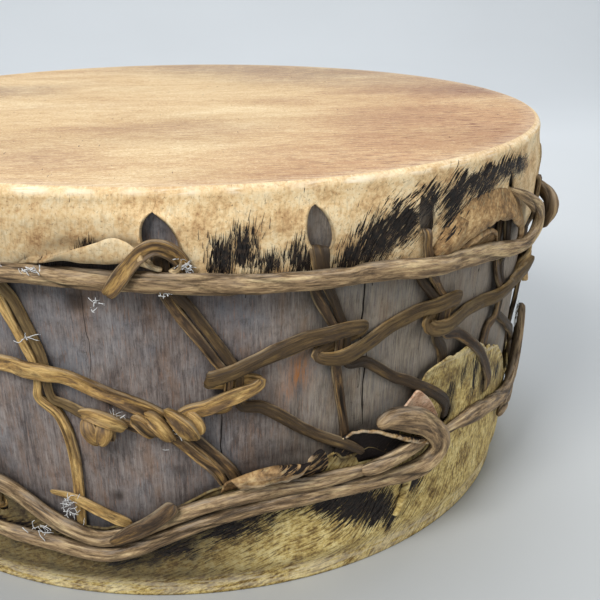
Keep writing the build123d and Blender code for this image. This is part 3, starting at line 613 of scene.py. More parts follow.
def strand(name, route, width, thick, material, slot, seed, tone=0.5, ropelike=False, wobble=0.5,
           roll=14.0, node=True):
    """Rope or thong swept along a route, uneven in width, tilt and colour, with pinched ends."""
    sides = 30 if ropelike else 26
    points = run(route)
    angle, z, lift, size, given_roll = points.T
    count = len(points)
    along = distances(points)
    angle = angle + wobble * noise_on(along / 24.0, seed, seed) / MM_PER_DEGREE
    z = z + wobble * noise_on(along / 19.0, seed + 0.5, seed + 1)
    centre = place(angle, z, lift) / MM
    across, up = directions(centre, angle)
    # section: a rope is round, a thong is a flat strip with rounded edges
    theta = np.linspace(-math.pi / 2, 1.5 * math.pi, sides, endpoint=False)
    power = 0.85 if ropelike else 0.55
    c, s = np.cos(theta), np.sin(theta)
    flat_c = np.sign(c) * np.abs(c) ** power
    flat_s = np.sign(s) * np.abs(s) ** power
    grow = 1 + 0.13 * noise_on(along / 22.0, 3.0, seed + 2) + 0.05 * noise_on(along / 6.0, 5.0, seed + 3)
    swell = 1 + 0.16 * noise_on(along / 15.0, 7.0, seed + 4)
    ends = np.minimum(step_up(along, -0.6, 1.6), step_up(along[-1] - along, -0.6, 1.6)) * 0.75 + 0.25
    half_w = width / 2 * size * grow * ends
    half_t = thick / 2 * np.where(size > 1, size, np.minimum(1.0, size * 1.25)) * swell * ends
    x = half_w[:, None] * flat_c[None, :]
    y = half_t[:, None] * flat_s[None, :]
    if ropelike:
        x, y, crease = creased_rope(x, y, theta, along, seed)
    else:
        y, crease = folded_thong(y, flat_c, s, thick, size, along, seed)
    bumps = noise_on(along[:, None] / 6.0, theta[None, :] * 1.3, seed + 12)
    lines = noise_on(along[:, None] / 26.0, theta[None, :] * 3.4, seed + 13)
    uneven = 1 + 0.04 * bumps + 0.15 * lines
    x, y = x * uneven, y * uneven
    tilt = np.radians(given_roll + roll * noise_on(along / 38.0, 6.5, seed + 14))[:, None]
    px = x * np.cos(tilt) - y * np.sin(tilt)
    py = x * np.sin(tilt) + y * np.cos(tilt)
    verts = centre[:, None, :] + across[:, None, :] * px[..., None] + up[:, None, :] * py[..., None]
    faces = grid_faces(count, sides, closed_columns=True)
    faces.append(tuple(range(sides - 1, -1, -1)))
    faces.append(tuple((count - 1) * sides + k for k in range(sides)))
    shade = tone + 0.16 * noise_on(along / 60.0, 8.5, seed + 15)
    values = {"crease": crease,
              "tone": np.repeat(np.clip(shade, 0.02, 1.0)[:, None], sides, axis=1),
              "edge": np.abs(flat_c[None, :]) ** 10 * (0.3 if ropelike else 1) * np.ones((count, 1)),
              # underside of the section, for the painted shade below the strand
              "under": np.repeat((0.5 - 0.5 * s)[None, :], count, axis=0)}
    flow = np.zeros((count, sides, 3))
    flow[..., 0] = (theta + math.pi / 2)[None, :] * (width / 3.0)
    flow[..., 1] = along[:, None]
    flow[..., 2] = seed * 3.7
    obj = make_mesh(name, verts * MM, faces, values, flow)
    nodes = [name.replace("_visual", "")] if node else []
    return dress(obj, material, slot, *nodes)


# ------------------------------------------------------------------ lacing routes
# knots of a route are (angle, height, lift) and, where they differ from 1 and 0, size and roll
UPPER_SLIT_LOW = 169.0          # lower end of the upper skirt's slits
LOWER_MARGIN = 9.0              # from the lower skirt's edge down to its slits
TONGUE_SLIT_HIGH = 75.0         # upper end of the two slits in the big flap
TONGUE_SLITS = (37.6, 49.5)
FOLD_SIZE = 0.8
FOLD_RISE = 3.2


def lower_slit_top(angle):
    """Upper end of the slit at this angle."""
    if angle in TONGUE_SLITS:
        return TONGUE_SLIT_HIGH
    return min(float(around(LOWER_EDGE, angle)), 61.0) - LOWER_MARGIN


STRAP_WIDTHS = {-24.0: 1.0, 14.5: 1.35, 29.5: 0.72}   # against the usual width of a thong


def climb_in(angle, z):
    """Up behind the upper skirt, out through its slit and down over it."""
    wide = STRAP_WIDTHS.get(angle, 1.0)
    return [(angle - 0.2, z - 9, ON_WOOD, 0.9), (angle - 0.1, z - 5.4, 1.3, 0.9 * wide),
            (angle, z - 3.9, 2.0, wide), (angle, z - 3.4, 3.1, wide),
            (angle, z - 3.9, 4.2, wide), (angle + 0.1, z - 6.0, OVER_SKIN, wide),
            (angle + 0.2, z - 10, OVER_SKIN, 0.95 * wide)]


def dive_in(angle, z):
    """Down over the lower skirt, in through its slit and up behind it."""
    left, right = angle - 0.35, angle + 0.35
    return [(left, z + 4, OVER_SKIN), (left, z - 0.8, OVER_SKIN, FOLD_SIZE),
            (angle - 0.2, z - 2.3, 3.95, FOLD_SIZE), (angle, z - 2.9, 2.85, FOLD_SIZE),
            (angle + 0.2, z - 2.3, 1.75, FOLD_SIZE), (right, z - 0.8, 1.25, FOLD_SIZE),
            (right, z + 4, ON_WOOD)]


def upper_loop(slit, pinch):
    """One Y: up from its pinch to a slit of the upper skirt and back down to the pinch."""
    p, zp = pinch
    edge = float(around(UPPER_EDGE, slit))
    lean = (p - slit) / (edge - zp - 4)

    def leg(side, drop):
        return slit + side + lean * drop, edge - drop

    low = edge - zp - 12
    up = [(p - 0.80, zp - 11, 2.6, 0.72), (p - 0.60, zp - 4, LEG_LIFTED, 0.62),
          (p - 0.60, zp + 4, LEG_LIFTED, 0.62), (*leg(-0.75, low), 1.9, 0.70),
          (*leg(-0.85, 7), 1.5, 0.78)]
    down = [(*leg(0.62, 3.5), OVER_SKIN, 0.85), (*leg(0.85, 13), 1.7, 0.74)]
    if low > 15:
        down.append((*leg(0.75, low), 1.9, 0.70))
    down += [(p + 0.60, zp + 4, LEG_LIFTED, 0.62),
             (p + 0.60, zp - 4, LEG_LIFTED, 0.62), (p + 0.95, zp - 11, 2.6, 0.72)]
    return up + climb_in(slit, UPPER_SLIT_LOW + FOLD_RISE) + down


def arrival(angle):
    """The last way down to a slit of the lower skirt and in through it."""
    edge = float(around(LOWER_EDGE, angle))
    route = [(angle - 4.8, edge + 16, 2.9), (angle - 1.6, edge + 5, OVER_SKIN)]
    return route + dive_in(angle, lower_slit_top(angle) - FOLD_RISE)


def lower_turn(angle):
    """Through a slit of the lower skirt, on to the next Y."""
    return arrival(angle) + [(angle + 0.1, float(around(LOWER_EDGE, angle)) + 6, ON_WOOD)]


def lower_start(angle):
    """Up from behind the lower skirt, where a length begins."""
    top, edge = lower_slit_top(angle), float(around(LOWER_EDGE, angle))
    return [(angle - 2.1, top - 9, ON_WOOD, 0.7), (angle - 2.1, top + 4, ON_WOOD),
            (angle - 1.6, edge + 8, ON_WOOD)]


def lower_finish(angle):
    """Through a slit of the lower skirt, where a length ends behind it."""
    return arrival(angle)[:-1] + [(angle + 0.5, lower_slit_top(angle) + 3, ON_WOOD, 0.7)]


def regular_length(first):
    """One length of lacing: two Ys, beginning and ending behind the lower skirt."""
    route = lower_start(LOWER_SLITS[first])
    route += upper_loop(UPPER_SLITS[first], PINCHES[first])
    route += lower_turn(LOWER_SLITS[first + 1])
    route += upper_loop(UPPER_SLITS[first + 1], PINCHES[first + 1])
    after = LOWER_SLITS[first + 2] if first + 2 < len(LOWER_SLITS) else LAST_LOWER_SLIT
    return route + lower_finish(after)


LENGTH_01 = [(-16.9, 28, ON_WOOD, 0.6), (-16.7, 40, ON_WOOD, 0.7), (-16.4, 58, 1.3, 0.72),
             (-16.9, 85, 1.4, 0.78), (-17.9, 97, 1.5, 0.78)]
LENGTH_01 += upper_loop(UPPER_SLITS[0], PINCHES[0])
LENGTH_01 += [(-17.0, 102.5, 1.7, 0.8), (-15.2, 99.8, 2.4, 0.85), (-13.4, 97.4, 4.6), (-12.8, 92.4, 4.8),
              (-12.5, 88.0, 4.0, 0.9), (-12.6, 85.6, 3.0, 0.6)]
LENGTH_02 = [(1.2, 99.5, ON_WOOD, 0.7)] + upper_loop(UPPER_SLITS[1], PINCHES[1])
LENGTH_02 += [(8.0, 98, 1.5, 0.85), (13.2, 85, 1.9, 0.9), (16.0, 79.5, 3.8, 0.9), (18.0, 76, 5.0, 0.9),
              (20.0, 72, 5.2, 0.8), (22.0, 67, 5.4, 0.5)]
LENGTH_03 = [(19.4, 44, ON_WOOD, 0.6), (19.8, 60, ON_WOOD, 0.7), (19.5, 80, 1.3, 0.75)]
LENGTH_03 += upper_loop(UPPER_SLITS[2], PINCHES[2])
LENGTH_03 += [(22.0, 112, ON_WOOD), (27.0, 100, ON_WOOD), (28.8, 97, 2.8), (30.8, 93, OVER_SKIN),
              (33.2, 88, OVER_SKIN), (35.6, 82, OVER_SKIN)]
LENGTH_03 += dive_in(LOWER_SLITS[3], TONGUE_SLIT_HIGH - FOLD_RISE)
LENGTH_03 += [(37.0, 95, ON_WOOD), (36.2, 105, ON_WOOD)] + upper_loop(UPPER_SLITS[3], PINCHES[3])
LENGTH_03 += [(39.0, 111, 1.8), (42.5, 102, OVER_SKIN), (45.5, 93, OVER_SKIN)]
LENGTH_03 += dive_in(LOWER_SLITS[4], TONGUE_SLIT_HIGH - FOLD_RISE)[:-1] + [(50.0, 78.5, ON_WOOD, 0.7)]
LENGTH_04 = [(47.6, 82, ON_WOOD, 0.7), (47.8, 92, ON_WOOD), (48.6, 103, ON_WOOD)]
LENGTH_04 += upper_loop(UPPER_SLITS[4], PINCHES[4]) + lower_turn(LOWER_SLITS[5])
LENGTH_04 += upper_loop(UPPER_SLITS[5], PINCHES[5]) + lower_finish(LOWER_SLITS[6])
KNOT_THONG = [(-11.2, 84.5, 1.6, 0.6), (-11.4, 90.0, 1.3), (-11.2, 96.5, 1.4), (-9.4, 94.5, 1.6),
              (-7.0, 91.5, 2.0), (-4.9, 90.0, 2.6), (-3.1, 86.0, 2.0), (-0.6, 77.0, ON_WOOD),
              (1.8, 68.0, ON_WOOD), (3.2, 58.0, ON_WOOD, 0.7)]
LENGTH_12 = [(5.2, 58.0, ON_WOOD, 0.7), (3.7, 68.5, ON_WOOD), (1.3, 78.5, ON_WOOD),
             (-1.2, 88.0, 1.4), (-2.6, 93.4, 1.6, 0.6)]
CINCH_LEFT = [(-27.0, 119.0, 1.4), (-23.0, 119.5, 3.0), (-20.5, 119.3, CINCH_OVER),
              (-18.0, 118.2, CINCH_OVER), (-16.0, 116.0, 3.0), (-13.0, 111.0, 1.4),
              (-9.0, 105.0, 1.4), (-6.0, 100.0, 1.6), (-4.2, 97.2, 2.4, 0.8)]
CINCH_FRONT = [(-4.6, 91.0, 6.0, 0.5), (-3.4, 95.5, 5.6, 0.8), (-1.5, 99.3, 3.4),
               (1.0, 102.5, 4.9), (3.2, 106.0, CINCH_OVER), (5.2, 108.6, CINCH_OVER),
               (6.8, 110.4, 4.9, 0.8), (7.6, 111.9, 2.9, 0.7), (6.3, 113.0, 1.3, 0.8), (4.2, 113.2, ON_WOOD),
               (2.3, 113.6, 1.3), (1.4, 114.4, 2.6), (1.9, 115.8, 4.9), (4.0, 118.2, CINCH_OVER),
               (6.6, 121.0, 4.0), (10.0, 124.4, 1.6), (13.5, 128.2, 2.0), (16.0, 130.4, 4.9),
               (18.4, 131.6, CINCH_OVER), (20.4, 131.2, 4.9), (21.2, 129.6, 2.6),
               (20.2, 127.4, 1.4), (18.3, 125.4, ON_WOOD), (15.8, 122.4, 1.3, 0.8), (14.7, 120.9, 2.8, 0.7),
               (15.9, 119.4, 4.9, 0.8), (18.2, 119.2, CINCH_OVER), (21.0, 121.4, 4.4),
               (26.0, 126.8, 1.6), (30.5, 130.2, 1.8), (32.8, 131.6, 4.9), (35.0, 132.4, CINCH_OVER),
               (37.0, 131.8, 4.9), (37.7, 130.0, 2.6), (36.8, 127.8, 1.4), (34.9, 126.0, ON_WOOD),
               (32.8, 124.2, 1.3), (31.9, 122.4, 2.6), (32.6, 120.8, 4.9), (35.0, 120.0, CINCH_OVER),
               (37.6, 120.6, 4.6), (41.0, 121.0, 2.0), (45.0, 120.8, 1.6), (48.2, 121.2, 4.9),
               (51.0, 121.6, CINCH_OVER), (53.6, 121.0, 4.9), (57.0, 118.0, 2.4),
               (61.0, 118.6, 4.0), (64.2, 120.8, 6.4, 0.8), (66.2, 123.6, 8.6, 0.45)]


def wrap(pinch):
    """Once round the two legs of a Y."""
    p, zp = pinch
    return [(p - 4.6, zp + 1.5, 1.6), (p - 2.2, zp + 4.0, 4.9), (p, zp + 5.8, CINCH_OVER),
            (p + 2.0, zp + 5.6, 4.9), (p + 2.7, zp + 4.0, 2.6), (p + 1.9, zp + 1.8, 1.4),
            (p, zp, ON_WOOD), (p - 2.0, zp - 2.0, 1.3), (p - 2.8, zp - 4.0, 2.6),
            (p - 2.1, zp - 5.6, 4.9), (p, zp - 6.6, CINCH_OVER), (p + 2.6, zp - 5.8, 4.6),
            (p + 5.4, zp - 3.4, 1.5)]


def cinch_run(first, last):
    """One length of cinch thong round the Ys from first to last."""
    route = []
    for pinch in PINCHES[first:last + 1]:
        route += wrap(pinch)
    before = (route[0][0] - 3.5, route[0][1] - 4.5, ON_WOOD, 0.6)
    after = (route[-1][0] + 3.0, route[-1][1] - 1.5, ON_WOOD, 0.6)
    return [before] + route + [after]


def rope_line(start, stop, height, crossings):
    """Rope along a skirt, lifted where it crosses a thong."""
    knots = {start: ROPE_ON_SKIN, stop: ROPE_ON_SKIN}
    for crossing in crossings:
        at = (crossing - start) % 360 + start
        for shift, lift in ((-5.2, ROPE_ON_SKIN), (-1.9, ROPE_OVER_THONG),
                            (1.9, ROPE_OVER_THONG), (5.2, ROPE_ON_SKIN)):
            if start < at + shift < stop:
                knots[at + shift] = lift
    return [(angle, float(height(angle)), knots[angle]) for angle in sorted(knots)]


# angles where thongs cross the ropes
UPPER_CROSSINGS = [angle + 0.6 for angle in UPPER_SLITS]
LOWER_CROSSINGS = LOWER_SLITS[5:] + [LAST_LOWER_SLIT]
UPPER_ROPE_LINE = [(-30, 162), (-22, 163), (-16, 162.5), (-10, 161), (-2.6, 161), (0.7, 159.5),
                   (6, 157.7), (18, 157), (25, 155.5), (34, 152.5), (41, 150.2), (80, 150),
                   (92, 158), (110, 156), (130, 160), (150, 157), (170, 160), (190, 156.5),
                   (210, 159), (230, 161.5), (250, 158), (270, 160.5), (290, 158), (310, 161),
                   (330, 162)]


def upper_rope_height(angle):
    """Height of the middle of the upper rope."""
    return around(UPPER_ROPE_LINE, angle)


def lower_rope_height(angle):
    """Height of the middle of the lower rope, a little below the edge of the skirt."""
    return around(LOWER_EDGE, angle) - 5.0


UPPER_ROPE_FRONT = [(-158.5, 149.5, 6.1, 0.5), (-156.5, 150.2, 6.2, 0.75), (-153.5, 152, 6.2, 0.9)]
UPPER_ROPE_FRONT += rope_line(-150.6, 42, upper_rope_height, UPPER_CROSSINGS)
UPPER_ROPE_FRONT += [(46.0, 148.6, 8.4, 0.85), (50.5, 147.2, 10.4, 0.75), (54.0, 147.6, 10.8, 0.72),
                     (56.6, 150.6, 10.8, 0.8), (57.2, 155.0, 10.6, 0.84), (56.4, 160.0, 10.2, 0.82),
                     (54.2, 164.6, 9.6, 0.76), (51.8, 168.6, 8.8, 0.66), (50.0, 171.6, 7.4, 0.55),
                     (49.0, 173.6, 5.4, 0.45), (48.5, 174.8, 3.2, 0.35), (48.3, 175.6, 1.4, 0.3)]
UPPER_ROPE_BACK = [(71.6, 160.6, 1.4, 0.4), (70.9, 160.2, 2.6, 0.6), (70.5, 159.8, 4.6, 0.9),
                   (70.1, 158.2, 8.0, 1.2), (69.6, 155.6, 11.2, 1.45), (69.2, 152.4, 13.2, 1.6),
                   (69.1, 149.2, 13.4, 1.6), (69.3, 146.4, 12.0, 1.55), (70.2, 143.8, 10.0, 1.45),
                   (72.4, 141.4, 8.6, 1.25), (75.8, 141.4, 7.0)]
UPPER_ROPE_BACK += rope_line(79.5, 199.8, upper_rope_height, UPPER_CROSSINGS)
UPPER_ROPE_BACK += [(202.5, 160.0, 6.2, 0.85), (205.2, 161.2, 6.2, 0.7), (207.4, 161.8, 6.1, 0.5)]
UPPER_TIE = [(-0.8, 157.5, 4.2, 0.5), (-0.8, 164, 4.3, 0.7), (-1.4, 169.6, 5.6, 0.95),
             (-2.7, 174.6, 7.8, 1.05), (-4.2, 176.0, 9.0, 1.05), (-5.6, 173.4, 9.8), (-6.9, 168.2, 10.6),
             (-8.4, 161.2, 10.4), (-9.4, 156.6, 9.4, 0.75)]
LOWER_ROPE_LEFT = [(187.6, 43.6, 6.1, 0.5), (190.2, 44.0, 6.2, 0.75), (193.5, 45.8, 6.2, 0.9)]
LOWER_ROPE_LEFT += rope_line(197.6, 328, lower_rope_height, LOWER_CROSSINGS)
LOWER_ROPE_LEFT += [(329.6, 60.8, 8.3), (333, 60.6, 8.2), (335.5, 56, 6.8, 0.9),
                    (339, 48, 7.4, 0.85), (342, 42.6, 8.1, 0.8), (346, 36.6, 6.8, 0.8),
                    (350, 39.5, 6.5, 0.8), (354.3, 46.5, 6.4, 0.8), (358.2, 51.7, 6.6, 0.8),
                    (363.4, 56.3, 6.8, 0.8), (368.6, 58.6, 6.4, 0.8), (372.7, 58.4, 6.4, 0.8),
                    (378.5, 58.4, 6.6, 0.75), (382, 58.2, 6.6, 0.6), (385, 57.6, 6.2, 0.35)]
LOWER_ROPE_LOOP = [(-31.5, 33.8, 6.1, 0.5), (-28.8, 33.4, 6.1, 0.75), (-25, 32.4, 6.0, 0.8),
                   (-20.6, 31.0, 6.1, 0.75), (-17.5, 29.6, 7.0, 0.75), (-13, 27.4, 6.2, 0.8),
                   (-8, 33.0, 6.1, 0.8), (-4, 39.0, 6.1, 0.8), (0, 44.5, 6.2, 0.8), (5, 49.0, 6.4, 0.8),
                   (10, 51.0, 6.4, 0.8), (15, 51.2, 6.2, 0.85), (20.5, 50.8, 6.4, 0.9),
                   (26, 49.6, 6.8, 1.0), (29.4, 49.0, 7.8, 1.1), (32.0, 50.4, 9.2, 1.15),
                   (33.8, 54.4, 10.4, 1.2), (34.4, 60.5, 11.0, 1.3), (33.4, 67.5, 10.8, 1.35),
                   (31.2, 75.0, 9.8, 1.35), (28.3, 80.2, 8.8, 1.3), (25.4, 82.6, 8.0, 1.1),
                   (23.4, 80.8, 7.2, 0.6)]
# the inner turn of the curl, seen in its opening
CURL_TAIL = [(32.6, 64.6, 7.6, 0.5), (30.4, 63.8, 8.6, 0.9), (27.6, 62.2, 9.2), (24.8, 60.6, 9.4),
             (22.9, 59.6, 8.6, 0.9), (21.2, 58.8, 7.4, 0.6)]
LOWER_ROPE_RIGHT = [(31.0, 59.5, 5.2, 0.4), (33.4, 60.2, 5.2, 0.45), (36.5, 60.6, 5.2, 0.45),
                    (40.2, 61.3, 5.8, 0.7), (44, 61, 6.2), (49, 58.6, 6.2), (56, 54, 6.4),
                    (62, 50.5, 6.4), (66.2, 54, 6.8), (68.4, 63, 7.0), (69.2, 73, 7.0),
                    (69.6, 83, 6.6, 0.9), (70.3, 91, 6.2, 0.7)]
LOWER_ROPE_BACK = [(57.5, 40, 6.1, 0.5), (61, 40.6, 6.2, 0.8), (65, 42.4, 6.3)]
LOWER_ROPE_BACK += rope_line(69.2, 185.5, lower_rope_height, LOWER_CROSSINGS)
LOWER_ROPE_BACK += [(189, 53.4, 6.2, 0.85), (191.8, 54.8, 6.2, 0.75), (194.3, 55.2, 6.1, 0.5)]
LOWER_TIE_FRONT = [(-12.0, 37.0, 10.3, 0.5), (-9.5, 42.5, 10.3, 0.9), (-6.5, 48.5, 10.2, 1.1),
                   (-4.4, 54.5, 10.2, 1.1), (-3.6, 57.5, 9.8, 0.9)]
LOWER_TIE_LEFT = [(-20.8, 55.5, 1.3, 0.4), (-18.4, 55.8, 2.4, 0.6), (-16.2, 54.6, 3.6, 0.9),
                  (-13.4, 50.6, 4.8, 0.95), (-10.8, 46.6, 5.6, 0.9), (-9.4, 44.4, 5.2, 0.6)]

# width and thickness
ROPE_SIZE = (8.6, 5.4)
CURL_TAIL_SIZE = (7.6, 5.0)
LACE_SIZE = (5.8, 2.6)
KNOT_THONG_SIZE = (4.6, 2.6)
UPPER_TIE_SIZE = (6.8, 3.2)
FRONT_TAG_SIZE = (7.4, 2.2)
LEFT_TAG_SIZE = (5.6, 2.0)
COIL_SIZE = (6.0, 3.4)
CINCH_SIZE = (6.8, 3.0)

ropes = {"upper_rope_front": (UPPER_ROPE_FRONT, 0.52), "upper_rope_back": (UPPER_ROPE_BACK, 0.38),
         "lower_rope_left": (LOWER_ROPE_LEFT, 0.5), "lower_rope_loop": (LOWER_ROPE_LOOP, 0.48),
         "lower_rope_right": (LOWER_ROPE_RIGHT, 0.42), "lower_rope_back": (LOWER_ROPE_BACK, 0.46)}
for number, (name, (route, tone)) in enumerate(ropes.items()):
    strand(name + "_visual", route, *ROPE_SIZE, ROPE, "rope_rawhide", 100 + 20 * number, tone,
           ropelike=True)

lengths = [LENGTH_01, LENGTH_02, LENGTH_03, LENGTH_04]
lengths += [regular_length(first) for first in range(6, len(UPPER_SLITS), 2)] + [LENGTH_12]
tones = [0.72, 0.42, 0.26, 0.28, 0.40, 0.34, 0.42, 0.3, 0.42, 0.36, 0.46, 0.28]
for number, (route, tone) in enumerate(zip(lengths, tones), start=1):
    strand(f"lacing_length_{number:02d}_visual", route, *LACE_SIZE, LACE, "lacing_rawhide",
           300 + 20 * number, tone)
strand("curl_tail", CURL_TAIL, *CURL_TAIL_SIZE, ROPE, "rope_rawhide", 681, 0.5, ropelike=True, node=False)
strand("knot_thong_visual", KNOT_THONG, *KNOT_THONG_SIZE, LACE, "lacing_rawhide", 601, 0.30)
strand("upper_tie_visual", UPPER_TIE, *UPPER_TIE_SIZE, LACE, "lacing_rawhide", 621, 0.34)
strand("lower_tie_front_visual", LOWER_TIE_FRONT, *FRONT_TAG_SIZE, LACE, "lacing_rawhide", 641, 0.32)
strand("lower_tie_left_visual", LOWER_TIE_LEFT, *LEFT_TAG_SIZE, LACE, "lacing_rawhide", 661, 0.72)
# small coils of the two knots tied where the front thongs meet
KNOT_COILS = [
    [(-14.8, 98.6, 2.2, 0.6), (-13.4, 100.6, 6.0, 0.9), (-11.6, 99.6, 8.2, 1.1), (-10.0, 96.6, 7.6, 1.0),
     (-9.2, 93.4, 4.4, 0.7)],
    [(-14.0, 98.0, 4.0, 0.8), (-13.5, 93.8, 6.8, 1.25), (-12.9, 89.2, 6.6, 1.1), (-12.3, 85.6, 4.6, 0.6)],
    [(-11.4, 98.0, 5.2, 0.8), (-11.5, 93.4, 7.6, 1.2), (-11.9, 89.0, 7.2, 1.0), (-12.5, 85.4, 5.4, 0.5)],
    [(-8.4, 97.4, 2.6, 0.7), (-7.4, 96.4, 5.2, 0.9), (-6.4, 93.0, 6.0, 0.95), (-5.6, 89.4, 4.6, 0.7)],
    [(-6.6, 99.6, 2.6, 0.7), (-5.6, 99.0, 6.6, 1.05), (-4.6, 95.4, 8.0, 1.15), (-3.9, 91.2, 6.8, 1.0),
     (-3.5, 87.6, 3.6, 0.6)],
    [(-4.2, 100.6, 2.8, 0.7), (-3.2, 100.0, 6.8, 1.1), (-2.0, 96.2, 8.6, 1.3), (-1.2, 91.4, 7.4, 1.15),
     (-0.9, 87.8, 4.2, 0.8)],
    [(-1.8, 99.8, 3.6, 0.7), (-0.9, 97.6, 6.2, 1.0), (-0.3, 93.6, 6.4, 0.95), (-0.5, 90.0, 4.6, 0.6)]]
for number, route in enumerate(KNOT_COILS, start=1):
    strand(f"knot_coil_{number}", route, *COIL_SIZE, LACE, "lacing_rawhide", 900 + 20 * number, 0.56,
           roll=24.0, node=False)
cinches = [CINCH_LEFT, CINCH_FRONT, cinch_run(5, 9), cinch_run(10, 14), cinch_run(15, 19)]
for number, route in enumerate(cinches, start=1):
    strand(f"cinch_length_{number:02d}_visual", route, *CINCH_SIZE, LACE, "cinch_rawhide",
           700 + 20 * number, 0.60, roll=22.0)


# ------------------------------------------------------------------ wooden shell
SHELL_LOW, SHELL_HIGH = 1.4, 195.6      # the wood between the two heads
UNCRACKED = 9.0                         # value of "split" away from every crack
# (angle, top, foot, width) of the cracks
CRACKS = [(21.6, 152, 124, 0.8), (22.6, 114, 80, 0.7), (-13.2, 152, 112, 0.22), (2.6, 96, 66, 0.5),
          (44.0, 148, 124, 0.5), (55.5, 150, 100, 0.5), (77.0, 152, 98, 0.8), (101.0, 150, 62, 0.9),
          (133.0, 140, 64, 0.6), (151.0, 155, 90, 0.9), (188.0, 150, 70, 0.9), (207.0, 130, 66, 0.6),
          (241.0, 155, 84, 0.9), (262.0, 120, 64, 0.6), (294.0, 152, 76, 0.9), (312.0, 140, 66, 0.5)]
# (strength, angle, height, half width, half height, power) of the rust stain, and of dark spots on the wood
# and the painted shade in the hollows under the folds and flaps of the skin
RUST = [(1.0, 12.8, 112, 1.6, 9.0, 2), (0.7, 11.2, 104, 1.0, 5.0, 2)]
DARK_SPOTS_AND_SHADE = [(1.0, -13.9, 149.5, 1.3, 4.4, 4), (0.9, -11.4, 55.6, 0.8, 2.6, 4),
               (0.7, -2.6, 68.3, 1.5, 3.0, 2), (0.97, -13, 166, 6.5, 6.0, 4), (0.97, 46, 156, 6.0, 9.0, 4),
               (0.97, 25, 66, 9.0, 9.0, 4), (0.97, 9, 62, 7.0, 7.0, 4), (0.97, 38, 72, 2.0, 8.0, 4)]


def front_dense(dense, sparse):
    """Angles all round, close together where the drum is seen at the front."""
    near = np.arange(FRONT_LEFT, FRONT_RIGHT, dense)
    far_span = 360 - FRONT_RIGHT + FRONT_LEFT
    far = np.linspace(FRONT_RIGHT, FRONT_LEFT + 360, int(far_span / sparse) + 1)[:-1]
    return np.concatenate([near, far])


def strongest(a, z, places):
    """The strongest of several spots at each point."""
    value = np.zeros_like(a)
    for strength, centre, middle, wide, tall, power in places:
        value = np.maximum(value, strength * spot(a, z, centre, middle, wide, tall, power))
    return value


def wood_shell():
    """The hollowed log, with cracks, rust, dark spots and painted shade beside the lacing and under the
    skirts' edges, and a plain inside.
    """
    angles = front_dense(0.3, 0.8)
    heights = np.concatenate([np.linspace(SHELL_LOW, 34, 8), np.linspace(37, 164, 74),
                              np.linspace(168, SHELL_HIGH, 8)])
    a, z = np.meshgrid(angles, heights)
    arc = a * MM_PER_DEGREE
    ridges = noise_on(arc / 2.6, z / 50, 43, 2)
    lift = -0.15 + 0.275 * noise_on(arc / 60, z / 90, 41, 2)
    lift = lift + 0.08 * ridges + 0.10 * noise_on(arc / 9.0, z / 90, 47, 2)
    crack = np.zeros_like(a)
    split = np.full_like(a, UNCRACKED)
    for at, high, low, wide in CRACKS:
        centre = at + 0.35 * noise_on(z / 16.0, at, 51) + 0.12 * noise_on(z / 4.0, at, 52)
        gap = turned(a, centre) * MM_PER_DEGREE
        inside = step_up(z, low - 6, low + 8) * (1 - step_up(z, high - 6, high + 8))
        cut = np.exp(-(gap / (wide * (0.35 + 0.65 * inside))) ** 2) * inside
        crack = np.maximum(crack, cut * min(1.0, wide / 0.5))
        narrow = gap / (wide * np.maximum(inside, 0.05))
        split = np.where(np.abs(narrow) < np.abs(split), narrow, split)
    split = np.clip(split, -UNCRACKED, UNCRACKED)
    lift = np.minimum(lift - 0.9 * crack, 0.15)
    lift = lift - (np.maximum(0, z - 191) ** 2 / 10.0 + np.maximum(0, 8 - z) ** 2 / 14.0)
    outer = place(a, z, lift)
    # dark spots and painted shade in the hollows; painted shade along the edges of both skirts and beside
    # the legs of the Ys
    dirt_and_shade = strongest(a, z, DARK_SPOTS_AND_SHADE)
    edge_up, edge_low = around(UPPER_EDGE, a), around(LOWER_EDGE, a)
    dirt_and_shade = np.maximum(dirt_and_shade, 0.8 * np.exp(-np.abs(edge_up - z) / 3.5))
    dirt_and_shade = np.maximum(dirt_and_shade, 0.8 * np.exp(-np.abs(z - edge_low) / 4.5))
    for slit, (pinch, pinch_z) in zip(UPPER_SLITS, PINCHES):
        share = np.clip((z - pinch_z) / (edge_up - pinch_z), 0, 1)
        beside = turned(a, pinch + (slit - pinch) * share) * MM_PER_DEGREE
        along_leg = (z > pinch_z - 6) * (z < edge_up)
        dirt_and_shade = np.maximum(dirt_and_shade, 0.45 * np.exp(-((np.abs(beside) - 5.0) / 3.2) ** 2) * along_leg)
    tan = 0.8 * step_up(turned(a, 0), 4, 22) * (np.abs(turned(a, 40)) < 60)
    tan = np.maximum(tan, np.clip(1.5 * noise_on(a / 17.0, 4.0, 55, 2), 0, 0.6))
    rows, columns = a.shape
    inner_rows = 6
    inner_z = np.linspace(SHELL_HIGH, SHELL_LOW, inner_rows)[:, None] + np.zeros((inner_rows, columns))
    inner = place(a[:inner_rows], inner_z, -SHELL_WALL + 0 * inner_z)
    verts = np.concatenate([outer.reshape(-1, 3), inner.reshape(-1, 3)])
    clean = np.zeros((inner_rows, columns))
    values = {"split": np.vstack([split, clean + UNCRACKED]),
              "stain": np.vstack([strongest(a, z, RUST), clean]),
              "dirt_and_shade": np.vstack([dirt_and_shade, clean]), "tan": np.vstack([tan, clean])}
    flow = np.concatenate([np.stack([arc, z, 0 * a], -1).reshape(-1, 3), inner.reshape(-1, 3) / MM])
    faces = grid_faces(rows + inner_rows, columns, closed_columns=True)
    last = (rows + inner_rows - 1) * columns
    for j in range(columns):
        k = (j + 1) % columns
        faces.append((last + j, last + k, k, j))
    obj = make_mesh("wood_shell_visual", verts, faces, values, flow)
    return dress(obj, WOOD, "shell_wood", "wood_shell")


wood_shell()

